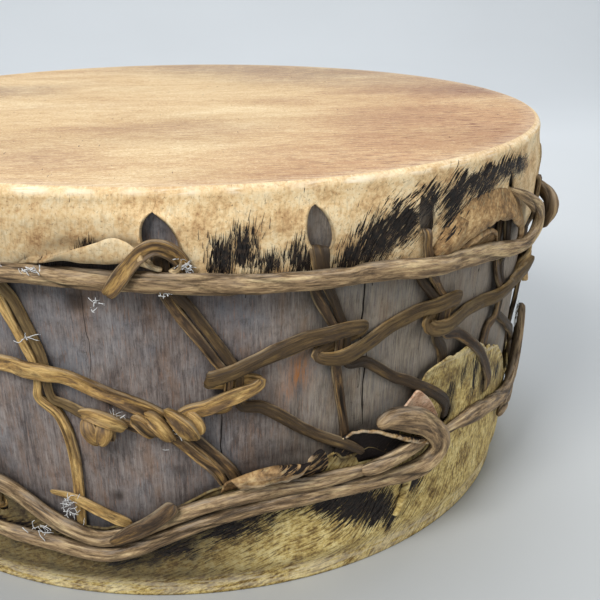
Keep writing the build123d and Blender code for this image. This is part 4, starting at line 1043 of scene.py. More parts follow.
# ------------------------------------------------------------------ upper head
# half width, half height, middle and lean of the slits seen at the front; the others are all alike
SLIT_SHAPES = {-24.0: (6.0, 10.0, 177.5, 0.4), -3.5: (6.8, 11.0, 176.5, 2.6), 14.5: (5.2, 10.0, 177.0, 1.8),
               29.5: (4.2, 9.0, 175.5, 2.2), 48.0: (3.0, 7.5, 177.5, 1.0)}
OTHER_SLIT = (4.6, 9.0, 178.0, 0.3)
UPPER_SLIT_LIST = [(centre, *SLIT_SHAPES.get(centre, OTHER_SLIT)) for centre in UPPER_SLITS]
UPPER_SLIT_LIST.append((70.4, 4.4, 6.0, 162.5, 0.0))    # the hole of the standing loop
RIM_RADIUS = 3.2                # of the corner between disc and skirt
TURN_Z = TOP - RIM_RADIUS - SKIN / 2


def hair_lean(angle, z):
    """How far the hair leans to the right of upright, in degrees."""
    upper = 6 + 42 * step_up(turned(angle, 0), 14, 30)
    lower = 66 - 30 * step_up(turned(angle, 0), 10, 26) - 40 * step_up(turned(angle, 0), 34, 44)
    return np.where(np.asarray(z) > 120, upper, lower)


def combed(angle, z):
    """Coordinates across and along the hair, in millimetres."""
    arc = turned(angle, 20) * MM_PER_DEGREE
    lean = np.radians(hair_lean(angle, z))
    middle = np.where(z > 120, 172.0, 45.0)
    return np.stack([arc * np.cos(lean) - (z - middle) * np.sin(lean),
                     arc * np.sin(lean) + (z - middle) * np.cos(lean), 0 * arc], -1)


def fur_amount(angle, z, patches):
    """How furry the skin is at each point."""
    amount = np.zeros(np.broadcast(angle, z).shape)
    for centre, wide, middle, tall, strength in patches:
        d = (turned(angle, centre) / wide) ** 2 + ((z - middle) / tall) ** 2
        amount = np.maximum(amount, strength * np.exp(-d * 0.8))
    return amount


# (angle, half width, height, half height, strength)
UPPER_FUR = [(3.0, 1.7, 168, 9, 0.70), (5.6, 1.9, 171, 10, 0.72), (8.6, 1.4, 165, 5, 0.62),
             (11.6, 1.4, 168, 7, 0.66), (12.6, 1.3, 163, 6, 0.66),
             (18.6, 2.2, 163, 8, 0.72), (22.0, 2.9, 170, 10, 0.80), (25.6, 2.8, 175, 11, 0.80),
             (30.0, 2.6, 183, 7, 0.74), (34.0, 2.4, 181, 9, 0.72), (37.0, 3.4, 186, 6, 0.78),
             (42.0, 4.0, 187.5, 5, 0.80), (47.0, 3.6, 187.5, 5, 0.78), (51.0, 2.2, 186, 5.0, 0.66),
             (33.6, 1.3, 170, 8, 0.62), (40.5, 2.6, 181, 4, 0.62), (-11.5, 1.0, 174, 2.4, 0.66),
             (-16.0, 2.6, 165.5, 2.6, 0.66), (-12.6, 1.2, 171, 2.4, 0.66),
             (112.0, 5, 176, 8, 0.85), (150.0, 7, 182, 6, 0.8), (203.0, 6, 174, 9, 0.8),
             (256.0, 5, 180, 8, 0.8), (309.0, 4, 172, 7, 0.7)]
LOWER_FUR = [(-25.0, 6.0, 34, 5, 0.62), (-12.0, 4.0, 23, 4, 0.50), (-5.0, 4.5, 30, 6, 0.62),
             (3.0, 4.6, 38, 7, 0.74), (7.0, 3.0, 43, 5, 0.70), (12.5, 2.2, 46, 4, 0.66),
             (17.6, 3.0, 44, 9, 0.95), (21.6, 3.6, 38, 11, 1.05), (25.6, 3.0, 31, 11, 1.0),
             (28.2, 1.6, 22, 7, 0.85), (32.0, 2.0, 39, 9, 0.95), (30.6, 1.2, 46, 4, 0.7),
             (38.4, 1.4, 80, 9, 0.78), (41.2, 1.2, 88, 9, 0.66), (44.4, 1.3, 82, 12, 0.74),
             (48.4, 1.8, 76, 9, 0.80), (54.0, 2.4, 72, 9, 0.62),
             (92.0, 6, 40, 9, 0.8), (137.0, 8, 34, 9, 0.8), (178.0, 5, 44, 8, 0.7),
             (226.0, 8, 36, 10, 0.85), (281.0, 6, 40, 9, 0.8), (318.0, 5, 32, 8, 0.7)]


def open_slits(angle, z, side, slits):
    """Pushes the skin apart on both sides of each slit, and tells where its lips are."""
    moved = np.zeros_like(angle)
    lips = np.zeros_like(angle)
    for centre, half_wide, half_tall, middle, lean in slits:
        y = (z - middle) / half_tall
        inside = np.clip(1 - np.abs(y) ** 2.1, 0, 1)
        wide = half_wide * inside ** 0.56 * (1 - 0.16 * y)
        x = turned(angle, centre) * MM_PER_DEGREE
        near = np.exp(-np.abs(x) / 9.0) * (np.abs(x) < 45)
        direction = np.where(np.abs(x) < 1e-6, side, np.sign(x))
        slant = -lean * np.clip(y, -1, 1) * np.exp(-np.maximum(0, np.abs(y) - 1) * 3)
        moved += direction * wide * near + slant * near
        lips = np.maximum(lips, np.exp(-np.abs(x) / 1.6) * np.clip(inside * 3, 0, 1))
    return angle + moved / MM_PER_DEGREE, lips


def columns_with_seams(dense, sparse, seams):
    """Angles of a skirt's columns, two at each seam, their sides of it, and the numbers of the left ones."""
    angles = front_dense(dense, sparse)
    for centre in seams:
        angles = angles[np.abs(turned(angles, centre)) > 0.12]
    side = np.repeat([0, -1, 1], [len(angles), len(seams), len(seams)])
    angles = np.concatenate([angles, seams, seams])
    shifted = (angles - FRONT_LEFT) % 360
    order = np.lexsort((side, shifted))
    side = side[order]
    return shifted[order] + FRONT_LEFT, side, np.flatnonzero(side == -1).tolist()


def skin_mesh(name, rows, skip):
    """One skin from its rows of points and their values, closed all round except along its slits."""
    columns = len(rows[0]["verts"])
    faces = grid_faces(len(rows), columns, skip=set(skip))
    faces += [(i * columns + columns - 1, i * columns, (i + 1) * columns, (i + 1) * columns + columns - 1)
              for i in range(len(rows) - 1)]
    values = {key: np.stack([row[key] for row in rows]) for key in rows[0]}
    verts, flow, comb = values.pop("verts"), values.pop("flow"), values.pop("comb")
    return make_mesh(name, verts, faces, values, flow, comb, merge=2e-6)


def upper_head():
    """The upper skin: disc, rounded corner, skirt and curled edge, with its slits pulled open."""
    angles, side, skip = columns_with_seams(0.44, 1.1, [s[0] for s in UPPER_SLIT_LIST])
    nothing = np.zeros(len(angles))
    where = turned(angles, 0)
    # at the front the hem is rolled up and outward, and lies higher than the trimmed edge beside it
    roll_share = np.interp(where, [-20.5, -17.5, -13, -8, -3.5, 0.0], [0, 0.35, 0.8, 1.0, 0.85, 0])
    roll_share = np.convolve(np.pad(roll_share, 2, mode="edge"), np.ones(5) / 5, mode="valid")
    raised = np.interp(where, [-22, -18.5, -13, -6, -1.5, 1.0], [0, 8.0, 10.5, 10.0, 5.5, 0])
    radius = 2.2 + 1.9 * roll_share
    turn = 0.7 + 3.3 * roll_share
    # at the right it is higher too, behind the fold, which is a separate piece
    edge = around(UPPER_EDGE, angles) + 18.0 * hump(where, 33.0, 57.5) ** 0.5
    edge = edge + raised + 3.5 * roll_share + 0.9 * noise_on(angles / 2.4, 3.0, 61)
    lift_low = 2.8 + 0.5 * noise_on(angles / 5.0, 1.0, 63)
    rows = []
    flat_end = shell_radius(TURN_Z) + 0.6 - RIM_RADIUS
    for r in np.concatenate([[0.0], np.linspace(14, flat_end, 22)]):
        x, y = r * np.sin(np.radians(angles)), -r * np.cos(np.radians(angles))
        sag = (0.30 * noise_on(x / 55, y / 38, 65, 2) - 0.25) * step_up(r, 0, 40)
        z = TOP - SKIN / 2 + sag * (1 - 0.6 * step_up(r, 150, 193))
        outer = step_up(np.hypot(x, y), 110, 196)
        right = step_up(x * 0.9 - y * 0.35, 30, 150)
        # back and left_back: painted shade towards the back of the disc, most at its left back; tint adds a
        # random grey
        back = step_up(x * 0.55 + y * 0.8, 60, 160)
        left_back = 0.7 * np.exp(-((x + 120) / 60) ** 2 - ((y - 70) / 30) ** 2)
        tint = 0.45 * noise_on(x / 60, y / 35, 72, 2)
        rows.append({"verts": np.stack([x, y, z], -1) * MM,
                     "flow": np.stack([x, y * 1.4, nothing], -1),
                     "comb": np.stack([x, y, nothing], -1),
                     "disc": nothing + 1,
                     "fur": nothing,
                     # painted highlight with wear at the outer edge of the disc
                     "wear_and_highlight": 0.25 * np.exp(-(flat_end - np.hypot(x, y)) / 0.8),
                     "dirt_and_shade": 0.10 * np.clip(noise_on(x / 70, y / 50, 71, 3) * 2, 0, 1),
                     "brown": np.clip(0.15 * outer + 0.62 * right + tint, 0, 1),
                     "grey_and_back_shade": np.clip(np.maximum(0.8 * back, left_back) + tint * 0.8, 0, 1)})
    # (height, lift, share of disc) of the rows of the corner, the skirt and the curled edge
    skirt = []
    uneven = 0.5 * noise_on(angles / 9.0, 2.0, 64, 2)
    for t in np.linspace(0, 1, 8)[1:]:
        bend = t * math.pi / 2
        r = flat_end + RIM_RADIUS * math.sin(bend) + uneven * t
        z = TURN_Z + RIM_RADIUS * math.cos(bend)
        skirt.append((nothing + z, r - shell_radius(z), 1 - t))
    for v in np.linspace(0, 1, 34)[1:]:
        z = TURN_Z - 0.4 + (edge - TURN_Z + 0.4) * v
        lift = 0.6 + (lift_low - 0.6) * step_up(v, 0.0, 0.42) + uneven * (1 - v)
        lift = lift + 0.45 * noise_on(angles / 3.2, z / 15.0, 67, 2) * step_up(v, 0, 0.3)
        skirt.append((z, lift, 0))
    for w in np.linspace(0, 1, 15)[1:]:
        phi = w * turn
        z = edge - radius * np.sin(phi) * np.where(phi > math.pi, 1 + 1.3 * roll_share, 1)
        lift = lift_low + radius * (1 - np.cos(phi)) + 0.3 * noise_on(angles / 2.0, w * 3, 69)
        skirt.append((z, lift, 0))
    # painted highlight with wear: a patchy whitish band along the rounded corner between disc and skirt
    rim_share = 0.42 + 1.3 * noise_on(angles / 2.4, 1.0, 73, 3)
    left = 0.30 * step_up(-where, 2, 16) * step_up(where, -60, -40)
    for z, lift, share in skirt:
        moved, lips = open_slits(angles, z, side, UPPER_SLIT_LIST)
        lift = lift + 0.9 * lips
        folded_over = lift > lift_low + 1.0
        rim = np.exp(-((z - TURN_Z - 1.7) / 1.1) ** 2)
        # darker along the trimmed edge, at the lips of the slits and towards the left; painted shade in the
        # crease under the rolled hem and on the folded-over skin
        low = np.exp(-np.maximum(0, z - edge) / 2.0) * (1 - roll_share) * (z < 175)
        crease = 0.75 * roll_share * np.exp(-((z - edge - 3.0) / 2.4) ** 2) * (lift < lift_low + 1.0)
        crease = np.maximum(crease, 0.22 * roll_share * folded_over)
        grime = 0.5 * low + 0.6 * lips ** 3 + left * (z < TURN_Z) + crease
        rows.append({"verts": place(moved, z, lift),
                     "flow": np.stack([moved * MM_PER_DEGREE, z, nothing + 50], -1),
                     "comb": combed(moved, z),
                     "disc": nothing + share,
                     "fur": fur_amount(moved, z, UPPER_FUR) * (1 - 0.8 * roll_share * folded_over),
                     "wear_and_highlight": np.clip(rim * rim_share, 0, 1),
                     "dirt_and_shade": np.clip(grime, 0, 1),
                     "brown": nothing,
                     "grey_and_back_shade": nothing})
    obj = skin_mesh("top_head_visual", rows, skip)
    dress(obj, UPPER_SKIN, "upper_head_rawhide", "top_head")
    thicken(obj, SKIN)


upper_head()

# ------------------------------------------------------------------ lower head
# the three slits left of the big flap lie behind the ropes and the small flaps, so they aren't cut
LOWER_SLIT_LIST = [(centre, 3.9, 5.4, lower_slit_top(centre) - 4.6, 0.0)
                   for centre in LOWER_SLITS[3:] + [LAST_LOWER_SLIT]]
FOOT_RADIUS = 7.6               # of the corner between disc and skirt
FOOT_TURN_Z = 8.1
LOWER_CURL = 3.0                # radius and length of the curled edge
LOWER_CURLED = 2.4


def lower_head():
    """The lower skin: disc, rounded corner, skirt with the big flap, and a slightly curled edge."""
    angles, side, skip = columns_with_seams(0.46, 1.1, [s[0] for s in LOWER_SLIT_LIST])
    nothing = np.zeros(len(angles))
    where = turned(angles, 0)
    big_flap = hump(where, 29, 62)
    edge = around(LOWER_EDGE, angles) - 1.0 + 0.9 * noise_on(angles / 2.0, 3.0, 81)
    edge = edge + 2.6 * big_flap * noise_on(angles / 0.9, 5.0, 82, 2)
    # the three small flaps are separate curled pieces, so the skirt stops lower behind them
    small_flaps = np.maximum(hump(where, 1.0, 17.0), hump(where, 15.0, 31.0))
    edge = edge - 11.0 * np.clip(small_flaps * 2, 0, 1) * (1 - np.clip(big_flap * 3, 0, 1))
    lift_high = 2.8 + 0.5 * noise_on(angles / 5.0, 1.0, 83) + 0.7 * big_flap
    rows = []
    for r in np.concatenate([[0.0], np.linspace(30, 177.5, 8)]):
        x, y = r * np.sin(np.radians(angles)), -r * np.cos(np.radians(angles))
        rows.append({"verts": np.stack([x, y, nothing + SKIN / 2], -1) * MM,
                     "flow": np.stack([x, y, nothing], -1),
                     "comb": np.stack([x, y, nothing], -1),
                     "disc": nothing + 1,
                     "fur": nothing,
                     "wear_and_highlight": nothing,
                     "dirt_and_shade": nothing + 0.1})

    def waves(z):
        return big_flap * 1.3 * noise_on(angles / 4.0, z / 16.0, 88, 2)

    # (height, lift) of the rows of the corner, the skirt and the curled edge
    skirt = []
    for t in np.linspace(0, 1, 8)[1:]:
        bend = t * math.pi / 2
        r = shell_radius(FOOT_TURN_Z) - 7.0 + FOOT_RADIUS * math.sin(bend)
        z = FOOT_TURN_Z - FOOT_RADIUS * math.cos(bend)
        skirt.append((nothing + z, nothing + r - shell_radius(z)))
    for v in np.linspace(0, 1, 40)[1:]:
        z = FOOT_TURN_Z + (edge - FOOT_TURN_Z) * v
        lift = 0.6 + (lift_high - 0.6) * step_up(z, FOOT_TURN_Z, FOOT_TURN_Z + 9)
        lift = lift + 0.4 * noise_on(angles / 3.0, z / 14.0, 87, 2) * step_up(v, 0, 0.3)
        skirt.append((z, lift + waves(z) * step_up(z, 62, 80)))
    for w in np.linspace(0, 1, 5)[1:]:
        phi = w * LOWER_CURLED / LOWER_CURL
        z = edge + LOWER_CURL * np.sin(phi)
        skirt.append((z, lift_high + LOWER_CURL * (1 - np.cos(phi)) + waves(z)))
    for z, lift in skirt:
        moved, lips = open_slits(angles, z, side, LOWER_SLIT_LIST)
        # darker along the trimmed edge and at the lips of the slits; painted shade and dirt towards the
        # left; painted shade in the gap at the left tie and in the hollows of the big flap's slits; painted
        # shadow below the lower rope
        low = np.exp(-np.maximum(0, edge - z) / 3.0) * (1 - np.clip(big_flap * 2, 0, 1))
        left = 0.95 * step_up(where, 16, -6) * step_up(z, 2, 14)
        gap = spot(angles, z, -18.5, 45, 5.0, 6.0)
        hollow = np.maximum(spot(angles, z, 38.0, 71, 1.5, 6.0), 0.9 * spot(angles, z, 48.5, 73, 1.3, 7.0))
        under = 0.5 * np.exp(-((lower_rope_height(angles) - 6 - z) / 7.0) ** 2) * (angles < 60)
        grime = 0.5 * low + 0.6 * lips ** 3 + left + gap + hollow + under
        flap_edge = 0.5 * big_flap * np.exp(-np.maximum(0, edge - z) / 2.0)
        rows.append({"verts": place(moved, z, np.maximum(lift + 0.6 * lips, 0.5)),
                     "flow": np.stack([moved * MM_PER_DEGREE, z, nothing + 90], -1),
                     "comb": combed(moved, z),
                     "disc": nothing,
                     "fur": fur_amount(moved, z, LOWER_FUR),
                     "wear_and_highlight": 0.35 * np.exp(-((z - 6) / 5.0) ** 2) + flap_edge,
                     "dirt_and_shade": np.clip(grime, 0, 1)})
    obj = skin_mesh("bottom_head_visual", rows, skip)
    dress(obj, LOWER_SKIN, "lower_head_rawhide", "bottom_head")
    thicken(obj, SKIN)


lower_head()


# ------------------------------------------------------------------ curled flaps of skin
PATCH_CELL = 0.9                # millimetres between the points of a flap


def spread(points, count):
    """The given number of rows, smoothly between the rows given."""
    wanted = np.linspace(0, len(points) - 1, count)
    slopes = np.gradient(points, axis=0)
    i = np.minimum(wanted.astype(int), len(points) - 2)
    t = (wanted - i).reshape((count,) + (1,) * (points.ndim - 1))
    return hermite(t, points[i], points[i + 1], slopes[i], slopes[i + 1])


def patch(name, rows, material, slot, seed, fur=0.0, thickness=1.1, rough_edge=0.8, wear_and_highlight=0.3, dirt_and_shade=0.0,
          furry_from=-1.0):
    """Curled piece of skin through rows of (angle, z, lift) points, first row fixed, last row free."""
    rows = [np.array(r, float) for r in rows]
    middles = np.array([r[len(r) // 2] for r in rows])
    long_way = max(12, int(distances(rows[0])[-1] / PATCH_CELL))
    cross_way = max(10, int(distances(middles)[-1] / PATCH_CELL))
    fine = spread(np.stack([spread(r, long_way) for r in rows]), cross_way)
    a, z, lift = fine[..., 0], fine[..., 1], fine[..., 2]
    u = np.linspace(0, 1, long_way)[None, :]
    v = np.linspace(0, 1, cross_way)[:, None]
    z = z + rough_edge * noise_on(np.arange(long_way)[None, :] / 4.0, 0 * v, seed, 2) * v ** 3
    lift = np.maximum(lift + 0.35 * noise_on(a * 1.1, z / 4.0, seed + 1, 2) * step_up(v, 0.0, 0.3), 0.9)
    bare_edge = 1 - step_up(v, 0.80, 0.93) + 0.10 * noise_on(u * 20, v * 2, seed + 2)
    hairy = fur * bare_edge * step_up(u, furry_from - 0.08, furry_from + 0.08)
    if fur == 0.0:
        hairy = fur_amount(a, z, UPPER_FUR) * (z > 120)
    # painted shade at the flap's root, where it lies against the skin
    values = {"fur": hairy, "disc": 0 * a, "wear_and_highlight": wear_and_highlight * v ** 6 + 0 * a,
              "dirt_and_shade": dirt_and_shade * (1 - v) ** 1.5 + 0 * a}
    flow = np.stack([a * MM_PER_DEGREE, z, 0 * a + seed], -1)
    obj = make_mesh(name, place(a, z, lift), grid_faces(cross_way, long_way), values, flow, combed(a, z))
    dress(obj, material, slot)
    thicken(obj, thickness)


patch("upper_fold_right", [
    [(31.6, 165, 2.3), (34.0, 174, 2.3), (38.2, 180, 2.3), (43.4, 180, 2.4), (48.2, 176.4, 2.4),
     (52.2, 169, 2.4), (54.6, 160.5, 2.5), (55.6, 152, 2.8)],
    [(32.4, 161, 3.6), (35.2, 169.0, 4.2), (39.0, 174.6, 4.7), (43.6, 174.8, 5.0), (47.9, 171.4, 5.3),
     (51.2, 164.8, 5.3), (53.4, 157.2, 5.2), (54.4, 149.8, 4.9)],
    [(33.0, 158.2, 4.7), (36.0, 165.0, 5.6), (39.6, 170.0, 6.6), (43.6, 170.6, 7.2), (47.4, 167.4, 7.8),
     (50.4, 161.2, 7.8), (52.4, 154.4, 7.4), (53.0, 148, 6.8)],
    [(33.8, 155.6, 5.0), (36.8, 161.6, 6.2), (40.2, 166.0, 7.6), (43.8, 166.6, 8.6), (47.2, 163.8, 9.4),
     (49.6, 158.6, 9.4), (51.2, 152.6, 8.8), (51.6, 146.6, 8.0)],
    [(34.6, 154.4, 4.2), (37.4, 159.8, 5.4), (40.6, 163.8, 6.6), (43.8, 164.6, 7.8), (46.8, 162.2, 8.6),
     (49.0, 157.8, 8.6), (50.4, 152.2, 8.0), (50.8, 146.0, 7.2)],
], FOLD_SKIN, "upper_head_rawhide", 801, rough_edge=1.6, wear_and_highlight=0.15)
patch("upper_fold_pleat", [
    [(30.8, 158, 3.2), (32.2, 164, 3.2), (33.4, 169, 3.2), (34.8, 173, 3.2)],
    [(31.4, 156.5, 5.2), (32.8, 162, 6.0), (34.2, 167, 5.8), (35.8, 171, 4.8)],
    [(32.4, 155.5, 6.2), (33.8, 160.5, 7.2), (35.2, 165, 6.8), (36.8, 169, 5.4)],
    [(33.6, 155.0, 5.0), (35.0, 159.5, 5.8), (36.2, 163.5, 5.6), (37.8, 167.5, 4.6)],
], FOLD_SKIN, "upper_head_rawhide", 806, wear_and_highlight=0.1)
patch("upper_fold_inner", [
    [(35, 149.5, 2.2), (38, 151, 2.2), (41, 151, 2.2), (44, 149.5, 2.2), (46, 148.5, 2.4)],
    [(35.6, 154, 3.4), (38, 157.2, 4.6), (41, 158.4, 5.4), (43.6, 156.0, 5.2), (45.6, 151.5, 4.2)],
    [(36.4, 156, 4.0), (38.6, 160.4, 5.8), (41, 162.0, 6.8), (43.4, 159.4, 6.4), (45.0, 153.8, 5.0)],
    [(37.2, 155.5, 5.0), (39.2, 159.2, 7.0), (41, 160.6, 8.0), (43.0, 158.4, 7.4), (44.4, 153.5, 6.0)],
], FOLD_SKIN, "upper_head_rawhide", 811, wear_and_highlight=0.1, dirt_and_shade=0.6)
patch("lower_flap_left", [
    [(2.2, 58, 3.0), (5, 60, 3.0), (8, 61, 3.0), (11, 61, 3.0), (14, 60, 3.2), (16.4, 62, 3.6)],
    [(2.6, 62, 4.6), (5.2, 65.5, 5.6), (8.2, 67, 6.0), (11, 66.5, 6.0), (13.8, 64.5, 6.2),
     (16.6, 66.5, 5.8)],
    [(3.0, 65, 6.4), (5.6, 69.5, 8.2), (8.4, 71.6, 8.8), (11, 71, 8.8), (13.6, 69.5, 8.6), (16.0, 73, 7.4)],
    [(3.6, 66.5, 8.0), (6, 70.5, 10.4), (8.6, 72.6, 11.2), (11, 72.2, 11.2), (13.2, 71.6, 10.4),
     (15.2, 76.5, 8.4)],
    [(4.2, 65, 9.4), (6.4, 68, 12.0), (8.8, 69.6, 12.8), (11, 69.6, 12.6), (13.0, 70.6, 11.4),
     (14.2, 76.0, 9.2)],
    [(4.8, 62.8, 9.0), (6.8, 64.6, 11.4), (9, 65.6, 12.2), (11, 66, 11.8), (12.8, 68.4, 10.8),
     (13.4, 73.6, 9.4)],
], FOLD_SKIN, "lower_head_rawhide", 821, fur=0.66, furry_from=0.45)
patch("lower_flap_middle", [
    [(17.6, 60, 3.0), (20, 61, 3.0), (23, 61, 3.0), (26, 60, 3.0), (29, 59, 3.2), (32, 58, 3.6)],
    [(17.6, 66, 3.2), (20, 68, 3.2), (23, 68.5, 3.4), (26, 66.5, 3.8), (29, 64, 4.4), (32, 61, 5.2)],
    [(17.8, 72, 3.6), (20, 74.5, 3.8), (23, 75, 4.4), (26, 72, 5.2), (29, 67.5, 6.2), (32.4, 63, 7.2)],
    [(18.2, 76, 4.6), (20.2, 79, 5.0), (23, 78.4, 6.2), (26, 74.6, 7.6), (29, 69.4, 8.8), (32.4, 64.4, 9.4)],
    [(18.8, 76.8, 5.8), (20.6, 79.4, 6.6), (23, 78.2, 8.0), (25.8, 73.6, 9.6), (28.8, 68, 10.8),
     (32, 63, 11.0)],
], FOLD_SKIN, "lower_head_rawhide", 831, fur=0.95)
patch("lower_flap_pink", [
    [(28.2, 72, 3.0), (29.6, 76, 3.0), (31.2, 78, 3.2), (33, 74, 3.6), (34.2, 68, 4.0)],
    [(28.2, 77, 3.4), (29.8, 82, 4.0), (31.0, 84, 4.6), (33, 78.5, 5.2), (34.4, 71, 5.2)],
    [(28.2, 80, 3.6), (29.8, 86, 4.6), (30.6, 88.6, 5.6), (33.0, 81.5, 6.2), (34.6, 73, 6.0)],
    [(28.3, 81.5, 3.8), (29.6, 88, 5.0), (30.4, 91.5, 6.4), (32.6, 84.5, 7.0), (34.8, 74, 6.6)],
], PINK_SKIN, "lower_head_rawhide", 841, wear_and_highlight=0.2, rough_edge=0.4)
patch("lower_ridge", [
    [(28.6, 23, 3.2), (29.2, 28, 3.2), (29.8, 34, 3.2), (30.2, 40, 3.2), (30.4, 45, 3.2)],
    [(29.0, 22.6, 4.4), (29.6, 28, 5.2), (30.2, 34, 5.6), (30.6, 40, 5.4), (30.8, 45, 4.6)],
    [(29.6, 22.4, 4.0), (30.2, 28, 4.6), (30.8, 34, 4.8), (31.2, 40, 4.6), (31.2, 45, 4.0)],
    [(30.2, 22.6, 3.2), (30.8, 28, 3.2), (31.4, 34, 3.2), (31.6, 40, 3.2), (31.6, 45, 3.2)],
], LOWER_SKIN, "lower_head_rawhide", 851, wear_and_highlight=0.0, rough_edge=0.2)


# ------------------------------------------------------------------ hair left on the skin
def hairs(name, patches, count, seed, slot, lift=3.4, longest=6.5):
    """Thin flat hairs lying on the skirt, dense inside the patches and sparse round them."""
    random = np.random.default_rng(seed)
    weights = np.array([p[1] * p[3] * p[4] for p in patches])
    shares = random.choice(len(patches), count, p=weights / weights.sum())
    table = np.array(patches)[shares]
    a = table[:, 0] + table[:, 1] * random.normal(0, 0.55, count)
    z = table[:, 2] + table[:, 3] * random.normal(0, 0.55, count) - 2.0
    clump = noise_on(a * 1.5, z / 7.0, seed, 2)
    keep = clump > random.uniform(-0.9, 0.35, count) - 0.1
    a, z = a[keep], z[keep]
    number = len(a)
    length = random.uniform(0.4, 1.0, number) * longest
    way = np.radians(hair_lean(a, z) + random.normal(0, 7, number))
    # hair of the upper skirt ends below the rim
    top = np.where(z > 120, 190.5, 300.0)
    length = np.clip(length, 0, np.maximum((top - z) / np.maximum(np.cos(way), 0.3), 0.5))
    rise = random.uniform(-0.15, 0.35, number)
    width = random.uniform(0.18, 0.36, number)
    steps = 3
    verts, flow = [], []
    for k in range(steps + 1):
        t = k / steps
        x, y = np.sin(way) * length * t, np.cos(way) * length * t
        half = width * (1 - t) ** 0.6 / 2 + 0.02
        for sign in (-1, 1):
            aa = a + (x + sign * half * np.cos(way)) / MM_PER_DEGREE
            zz = z + y - sign * half * np.sin(way)
            verts.append(place(aa, zz, lift + 0.35 + rise * t))
            flow.append(np.stack([aa * MM_PER_DEGREE, zz, 0 * aa], -1))
    verts = np.stack(verts, 1)
    flow = np.stack(flow, 1)
    faces = []
    per = 2 * (steps + 1)
    for h in range(number):
        for k in range(steps):
            i = h * per + 2 * k
            faces.append((i, i + 1, i + 3, i + 2))
    obj = make_mesh(name, verts, faces, None, flow)
    return dress(obj, HAIR, slot)


def between(low, high, patches):
    """The patches whose middle lies between two angles."""
    return [p for p in patches if low <= p[0] < high]


hairs("upper_hair_left", between(-30, 16, UPPER_FUR), 900, 901, "upper_head_rawhide")
hairs("upper_hair_right", between(16, 60, UPPER_FUR), 2600, 903, "upper_head_rawhide")
hairs("upper_hair_back", between(60, 400, UPPER_FUR), 1800, 905, "upper_head_rawhide")
hairs("lower_hair_left", between(-40, 14, LOWER_FUR), 900, 907, "lower_head_rawhide")
hairs("lower_hair_right", between(14, 60, LOWER_FUR), 1500, 909, "lower_head_rawhide")
hairs("lower_hair_back", between(60, 400, LOWER_FUR), 2000, 911, "lower_head_rawhide")


# ------------------------------------------------------------------ dust and cobweb caught in the lacing
THREAD_STEP = 0.8


def threads(name, places, seed):
    """Short curling threads; a place is (angle, height, lift, spread of both, count, length)."""
    random = np.random.default_rng(seed)
    corners = [2 * math.pi * k / 3 for k in range(3)]
    section = np.array([(math.cos(turn), 0.3, math.sin(turn)) for turn in corners])
    verts, faces, flow = [], [], []
    for at, height, lift_at, spread_angle, spread_z, count, length in places:
        for _ in range(count):
            a = at + random.normal(0, spread_angle)
            z = height + random.normal(0, spread_z)
            lift = lift_at + random.uniform(-0.4, 0.9)
            heading = random.uniform(0, 2 * math.pi)
            path = []
            for _ in range(max(4, int(length * random.uniform(0.4, 1.0) / THREAD_STEP))):
                path.append((a, z, lift))
                heading += random.normal(0, 0.30)
                a += THREAD_STEP * math.cos(heading) / MM_PER_DEGREE
                z += THREAD_STEP * math.sin(heading)
                lift = max(0.7, lift + random.normal(0, 0.12))
            centre = place(*np.array(path).T)
            thick = random.uniform(0.12, 0.28) * MM
            first = len(verts) * 3
            verts += [point + section * thick for point in centre]
            flow += [[point / MM] * 3 for point in centre]
            faces += [[first + corner for corner in face]
                      for face in grid_faces(len(centre), 3, closed_columns=True)]
    obj = make_mesh(name, np.array(verts), faces, None, np.array(flow))
    return dress(obj, DUST, "lacing_rawhide")


threads("dust_threads", [
    (-20.3, 133, 4.4, 0.5, 0.5, 4, 8), (-17.6, 50, 6.0, 0.9, 3.0, 30, 7),
    (-21.0, 40, 9.0, 1.2, 2.0, 14, 8), (-10.2, 99, 5.6, 0.6, 1.6, 8, 7), (-4.0, 93, 6.8, 0.5, 2.4, 9, 7),
    (-0.9, 167, 7.6, 0.3, 1.2, 26, 4), (-3.6, 158, 9.6, 0.5, 1.4, 12, 4),
    (-17.6, 165.5, 9.0, 0.6, 0.4, 16, 3), (-21.4, 166, 9.0, 0.4, 0.4, 12, 3),
    (-10.6, 153, 10.2, 0.3, 1.0, 8, 4), (66.5, 90, 4.0, 0.5, 5.0, 24, 5)], 921)


# ------------------------------------------------------------------ floor, light, camera
def plain(name, floor, wall, roughness):
    """Backdrop paint with painted light: darker on the floor, growing lighter with the distance behind the
    drum.
    """
    g = Graph(name)
    where = g.node("TexCoord").outputs["Object"]
    tint = g.noise(where, scale=3.0, detail=2)
    behind = g.node("SeparateXYZ", {0: where}).outputs[1]
    # painted light: the floor is painted darker than the wall
    colour = g.mix(g.range(behind, -0.3, 0.9), floor, wall)
    g.put(g.shader.inputs["Base Color"], g.mix(g.range(tint, 0.3, 0.7, 0, 0.08), colour, (0.45, 0.47, 0.48)))
    g.shader.inputs["Roughness"].default_value = roughness
    return g.material


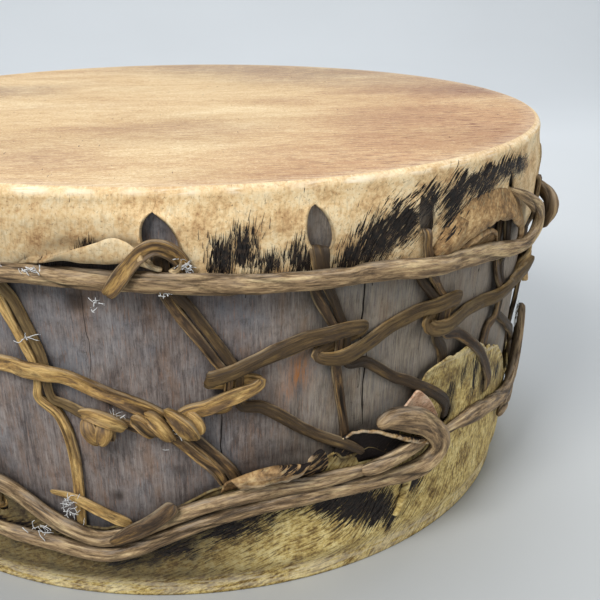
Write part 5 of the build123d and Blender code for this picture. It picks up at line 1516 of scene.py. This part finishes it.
def backdrop():
    """Table top that sweeps up into a wall behind the drum, in metres."""
    sweep_start, sweep_radius, half_width, wall_top = 1.2, 1.2, 6.0, 5.0
    profile = [(-6.0, 0.0), (-2.0, 0.0), (0.0, 0.0), (sweep_start, 0.0)]
    for k in range(1, 13):
        bend = k / 12 * math.pi / 2
        profile.append((sweep_start + sweep_radius * math.sin(bend),
                        sweep_radius - sweep_radius * math.cos(bend)))
    profile.append((sweep_start + sweep_radius, wall_top))
    verts = [(x, y, z) for y, z in profile for x in (-half_width, half_width)]
    faces = [(2 * i, 2 * i + 1, 2 * i + 3, 2 * i + 2) for i in range(len(profile) - 1)]
    obj = make_mesh("studio_floor", verts, faces)
    obj.data.materials.append(plain("studio_paint", (0.365, 0.38, 0.385), (0.73, 0.76, 0.785), 0.5))


backdrop()


DRUM_MIDDLE = Vector((0, 0, 0.1))


def light(name, stands_at, size, power, colour):
    """Rectangular lamp that shines at the middle of the drum."""
    data = bpy.data.lights.new(name, "AREA")
    data.shape = "RECTANGLE"
    data.size, data.size_y = size
    data.energy = power
    data.color = colour
    obj = bpy.data.objects.new(name, data)
    bpy.context.scene.collection.objects.link(obj)
    obj.location = stands_at
    obj.rotation_mode = "QUATERNION"
    obj.rotation_quaternion = (DRUM_MIDDLE - Vector(stands_at)).to_track_quat("-Z", "Y")


light("key", (-0.9, -1.2, 1.5), (0.7, 0.7), 36, (1.0, 0.98, 0.95))
light("top", (0.3, 0.4, 2.0), (1.2, 1.0), 24, (0.97, 0.98, 1.0))
light("fill", (1.8, -1.0, 0.9), (1.2, 1.0), 10, (1.0, 0.965, 0.91))

world = bpy.data.worlds.new("studio_world")
bpy.context.scene.world = world
world.use_nodes = True
background = world.node_tree.nodes["Background"]
background.inputs["Color"].default_value = (0.80, 0.85, 0.90, 1)
background.inputs["Strength"].default_value = 0.46
bpy.context.scene.view_settings.view_transform = "Standard"

# the camera stands where the photo was taken from: downward tilt and turn in radians
CAMERA_TILT = 0.3649
CAMERA_TURN = -0.1217
camera_data = bpy.data.cameras.new("camera")
camera = bpy.data.objects.new("camera", camera_data)
bpy.context.scene.collection.objects.link(camera)
camera_data.lens = 55.24
camera_data.sensor_width = 36.0
camera_data.clip_start = 0.02
camera.location = (0.0, -0.5414, 0.2813)
camera.rotation_euler = (math.pi / 2 - CAMERA_TILT, 0.0, CAMERA_TURN)
bpy.context.scene.camera = camera
